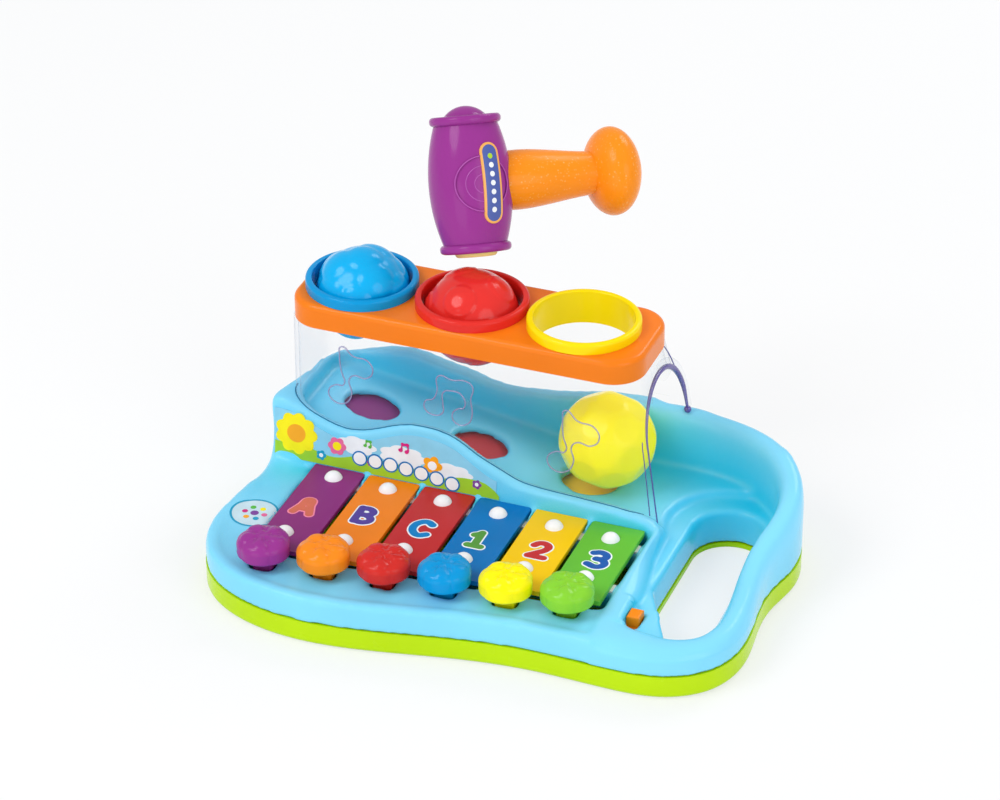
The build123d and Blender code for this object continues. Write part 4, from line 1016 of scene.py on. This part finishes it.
barrelForm = {"ringRadii": (4.55 * mm, 8.75 * mm, 13.55 * mm), "bead": 0.62 * mm, "steps": 96, "away": 40 * mm,
              "lift": 0.05 * mm}


def barrelRings(hammer, form):
    # three fine beads in one mesh, laid on the barrel round the middle of its side
    head, handle, side, middle = hammerAxes(hammer)
    barrel = surfaceTree(cadNodes["hammer_head"].data)
    shape = bmesh.new()
    for radius in form["ringRadii"]:
        line = []
        for step in range(form["steps"]):
            turn = 2 * pi * step / form["steps"]
            place = middle + side * form["away"] + handle * radius * cos(turn) + head * radius * sin(turn)
            line.append(onSurface(barrel, place, -side, -form["lift"]))
        shape.from_mesh(softLine(line, form["bead"], smooth=False))
    return meshOf(shape, "barrelRings")


# the beads are the barrel's own plastic; their lighter purple is a painted highlight along them
addPiece("barrelRings", barrelRings(hammerForm, barrelForm), mouldedPlastic("ringPurple", colours["beadHighlightPurple"]),
         "hammer")
finishNode("hammer_plate", plateInk(hammerForm))
print("hammer plate printed")


# Floor, lights and camera

stageForm = {"size": 6.0, "below": 0.2 * mm, "paper": (0.9, 0.9, 0.9, 1), "rough": 0.9, "glow": 0.62,
             "worldTone": (0.94, 0.97, 1.0, 1), "worldLevel": 0.66}
# each lamp's place and target, its width and its power
lamps = {
    "keyLamp": ((-1.0, -1.0, 1.7), (0, 0, 0.05), 1.1, 16.5),
    "fillLamp": ((1.5, -0.9, 0.9), (0, 0, 0.05), 1.3, 8.5),
    "rimLamp": ((0.5, 1.5, 1.4), (0, 0, 0.08), 0.9, 8.5),
    "lowLamp": ((-0.35, -1.6, 0.32), (0.05, 0, 0.06), 1.0, 3.0),
}


def seenBy(tree, *kinds):
    # 1 for rays of either kind, 0 for the rest
    rays = addNode(tree, "ShaderNodeLightPath")
    seen = addNode(tree, "ShaderNodeMath", operation="MAXIMUM")
    for socket, kind in zip(seen.inputs, kinds):
        link(rays.outputs["Is %s Ray" % kind], socket)
    return seen.outputs[0]


def mixShaders(tree, sources, output):
    # a share and the two shaders that it mixes, sent to the output node
    blend = addNode(tree, "ShaderNodeMixShader")
    for socket, source in zip(blend.inputs, sources):
        link(source, socket)
    link(blend.outputs["Shader"], tree.nodes[output].inputs["Surface"])


def makeFloor(form):
    shape = bmesh.new()
    bmesh.ops.create_grid(shape, x_segments=1, y_segments=1, size=form["size"] / 2)
    bmesh.ops.translate(shape, verts=shape.verts[:], vec=(0, 0, -form["below"]))
    floor = addObject("floor", meshOf(shape, "floor"))
    material, tree, shader = newMaterial("paperFloor")
    setInputs(shader, {"Base Color": form["paper"], "Roughness": form["rough"]})
    glow = addNode(tree, "ShaderNodeEmission", Strength=1.0)
    share = addNode(tree, "ShaderNodeMath", operation="MULTIPLY")
    share.inputs[1].default_value = form["glow"]
    link(seenBy(tree, "Camera", "Glossy"), share.inputs[0])
    mixShaders(tree, (share.outputs[0], shader.outputs["BSDF"], glow.outputs["Emission"]), "Material Output")
    floor.data.materials.append(material)


def addLamp(name, place, target, size, power):
    lamp = bpy.data.lights.new(name, "AREA")
    lamp.shape = "DISK"
    lamp.size = size
    lamp.energy = power
    holder = addObject(name, lamp)
    holder.location = place
    holder.rotation_euler = (Vector(target) - Vector(place)).to_track_quat("-Z", "Y").to_euler()


def makeWorld(form):
    world = bpy.data.worlds.new("studio")
    bpy.context.scene.world = world
    world.use_nodes = True
    tree = world.node_tree
    plain = tree.nodes["Background"]
    setInputs(plain, {"Color": form["worldTone"], "Strength": form["worldLevel"]})
    white = addNode(tree, "ShaderNodeBackground", Color=(1, 1, 1, 1), Strength=1.0)
    seen = seenBy(tree, "Camera", "Transmission")
    mixShaders(tree, (seen, plain.outputs["Background"], white.outputs["Background"]), "World Output")


cameraForm = {
    # angles round and above the toy, focal length in pixels and distance to a point on the deck
    "around": 20.862, "above": 31.063, "focal": 3921.0, "distance": 1940.6 * mm,
    "anchor": (-38.0 * mm, 52.75 * mm, 115.0 * mm), "anchorPixel": (472.3, 304.7), "width": 1000, "height": 800,
    "sensor": 36.0, "clip": (0.05, 20.0),
}


def makeCamera(form):
    around, above = radians(form["around"]), radians(form["above"])
    right = Vector((cos(around), sin(around), 0))
    up = Vector((-sin(around) * sin(above), cos(around) * sin(above), cos(above)))
    ahead = Vector((-sin(around) * cos(above), cos(around) * cos(above), -sin(above)))
    scale = form["distance"] / form["focal"]
    place = Vector(form["anchor"]) - ahead * form["distance"] \
        - right * (form["anchorPixel"][0] - form["width"] / 2) * scale \
        + up * (form["anchorPixel"][1] - form["height"] / 2) * scale
    lens = bpy.data.cameras.new("camera")
    lens.sensor_width = form["sensor"]
    lens.lens = form["focal"] * form["sensor"] / form["width"]
    lens.clip_start, lens.clip_end = form["clip"]
    camera = addObject("camera", lens)
    turn = Matrix((right, up, -ahead)).transposed().to_4x4()
    camera.matrix_world = Matrix.Translation(place) @ turn
    bpy.context.scene.camera = camera


makeFloor(stageForm)
makeWorld(stageForm)
for name, settings in lamps.items():
    addLamp(name, *settings)
makeCamera(cameraForm)
bpy.context.scene.view_settings.view_transform = "Standard"
print("stage set")
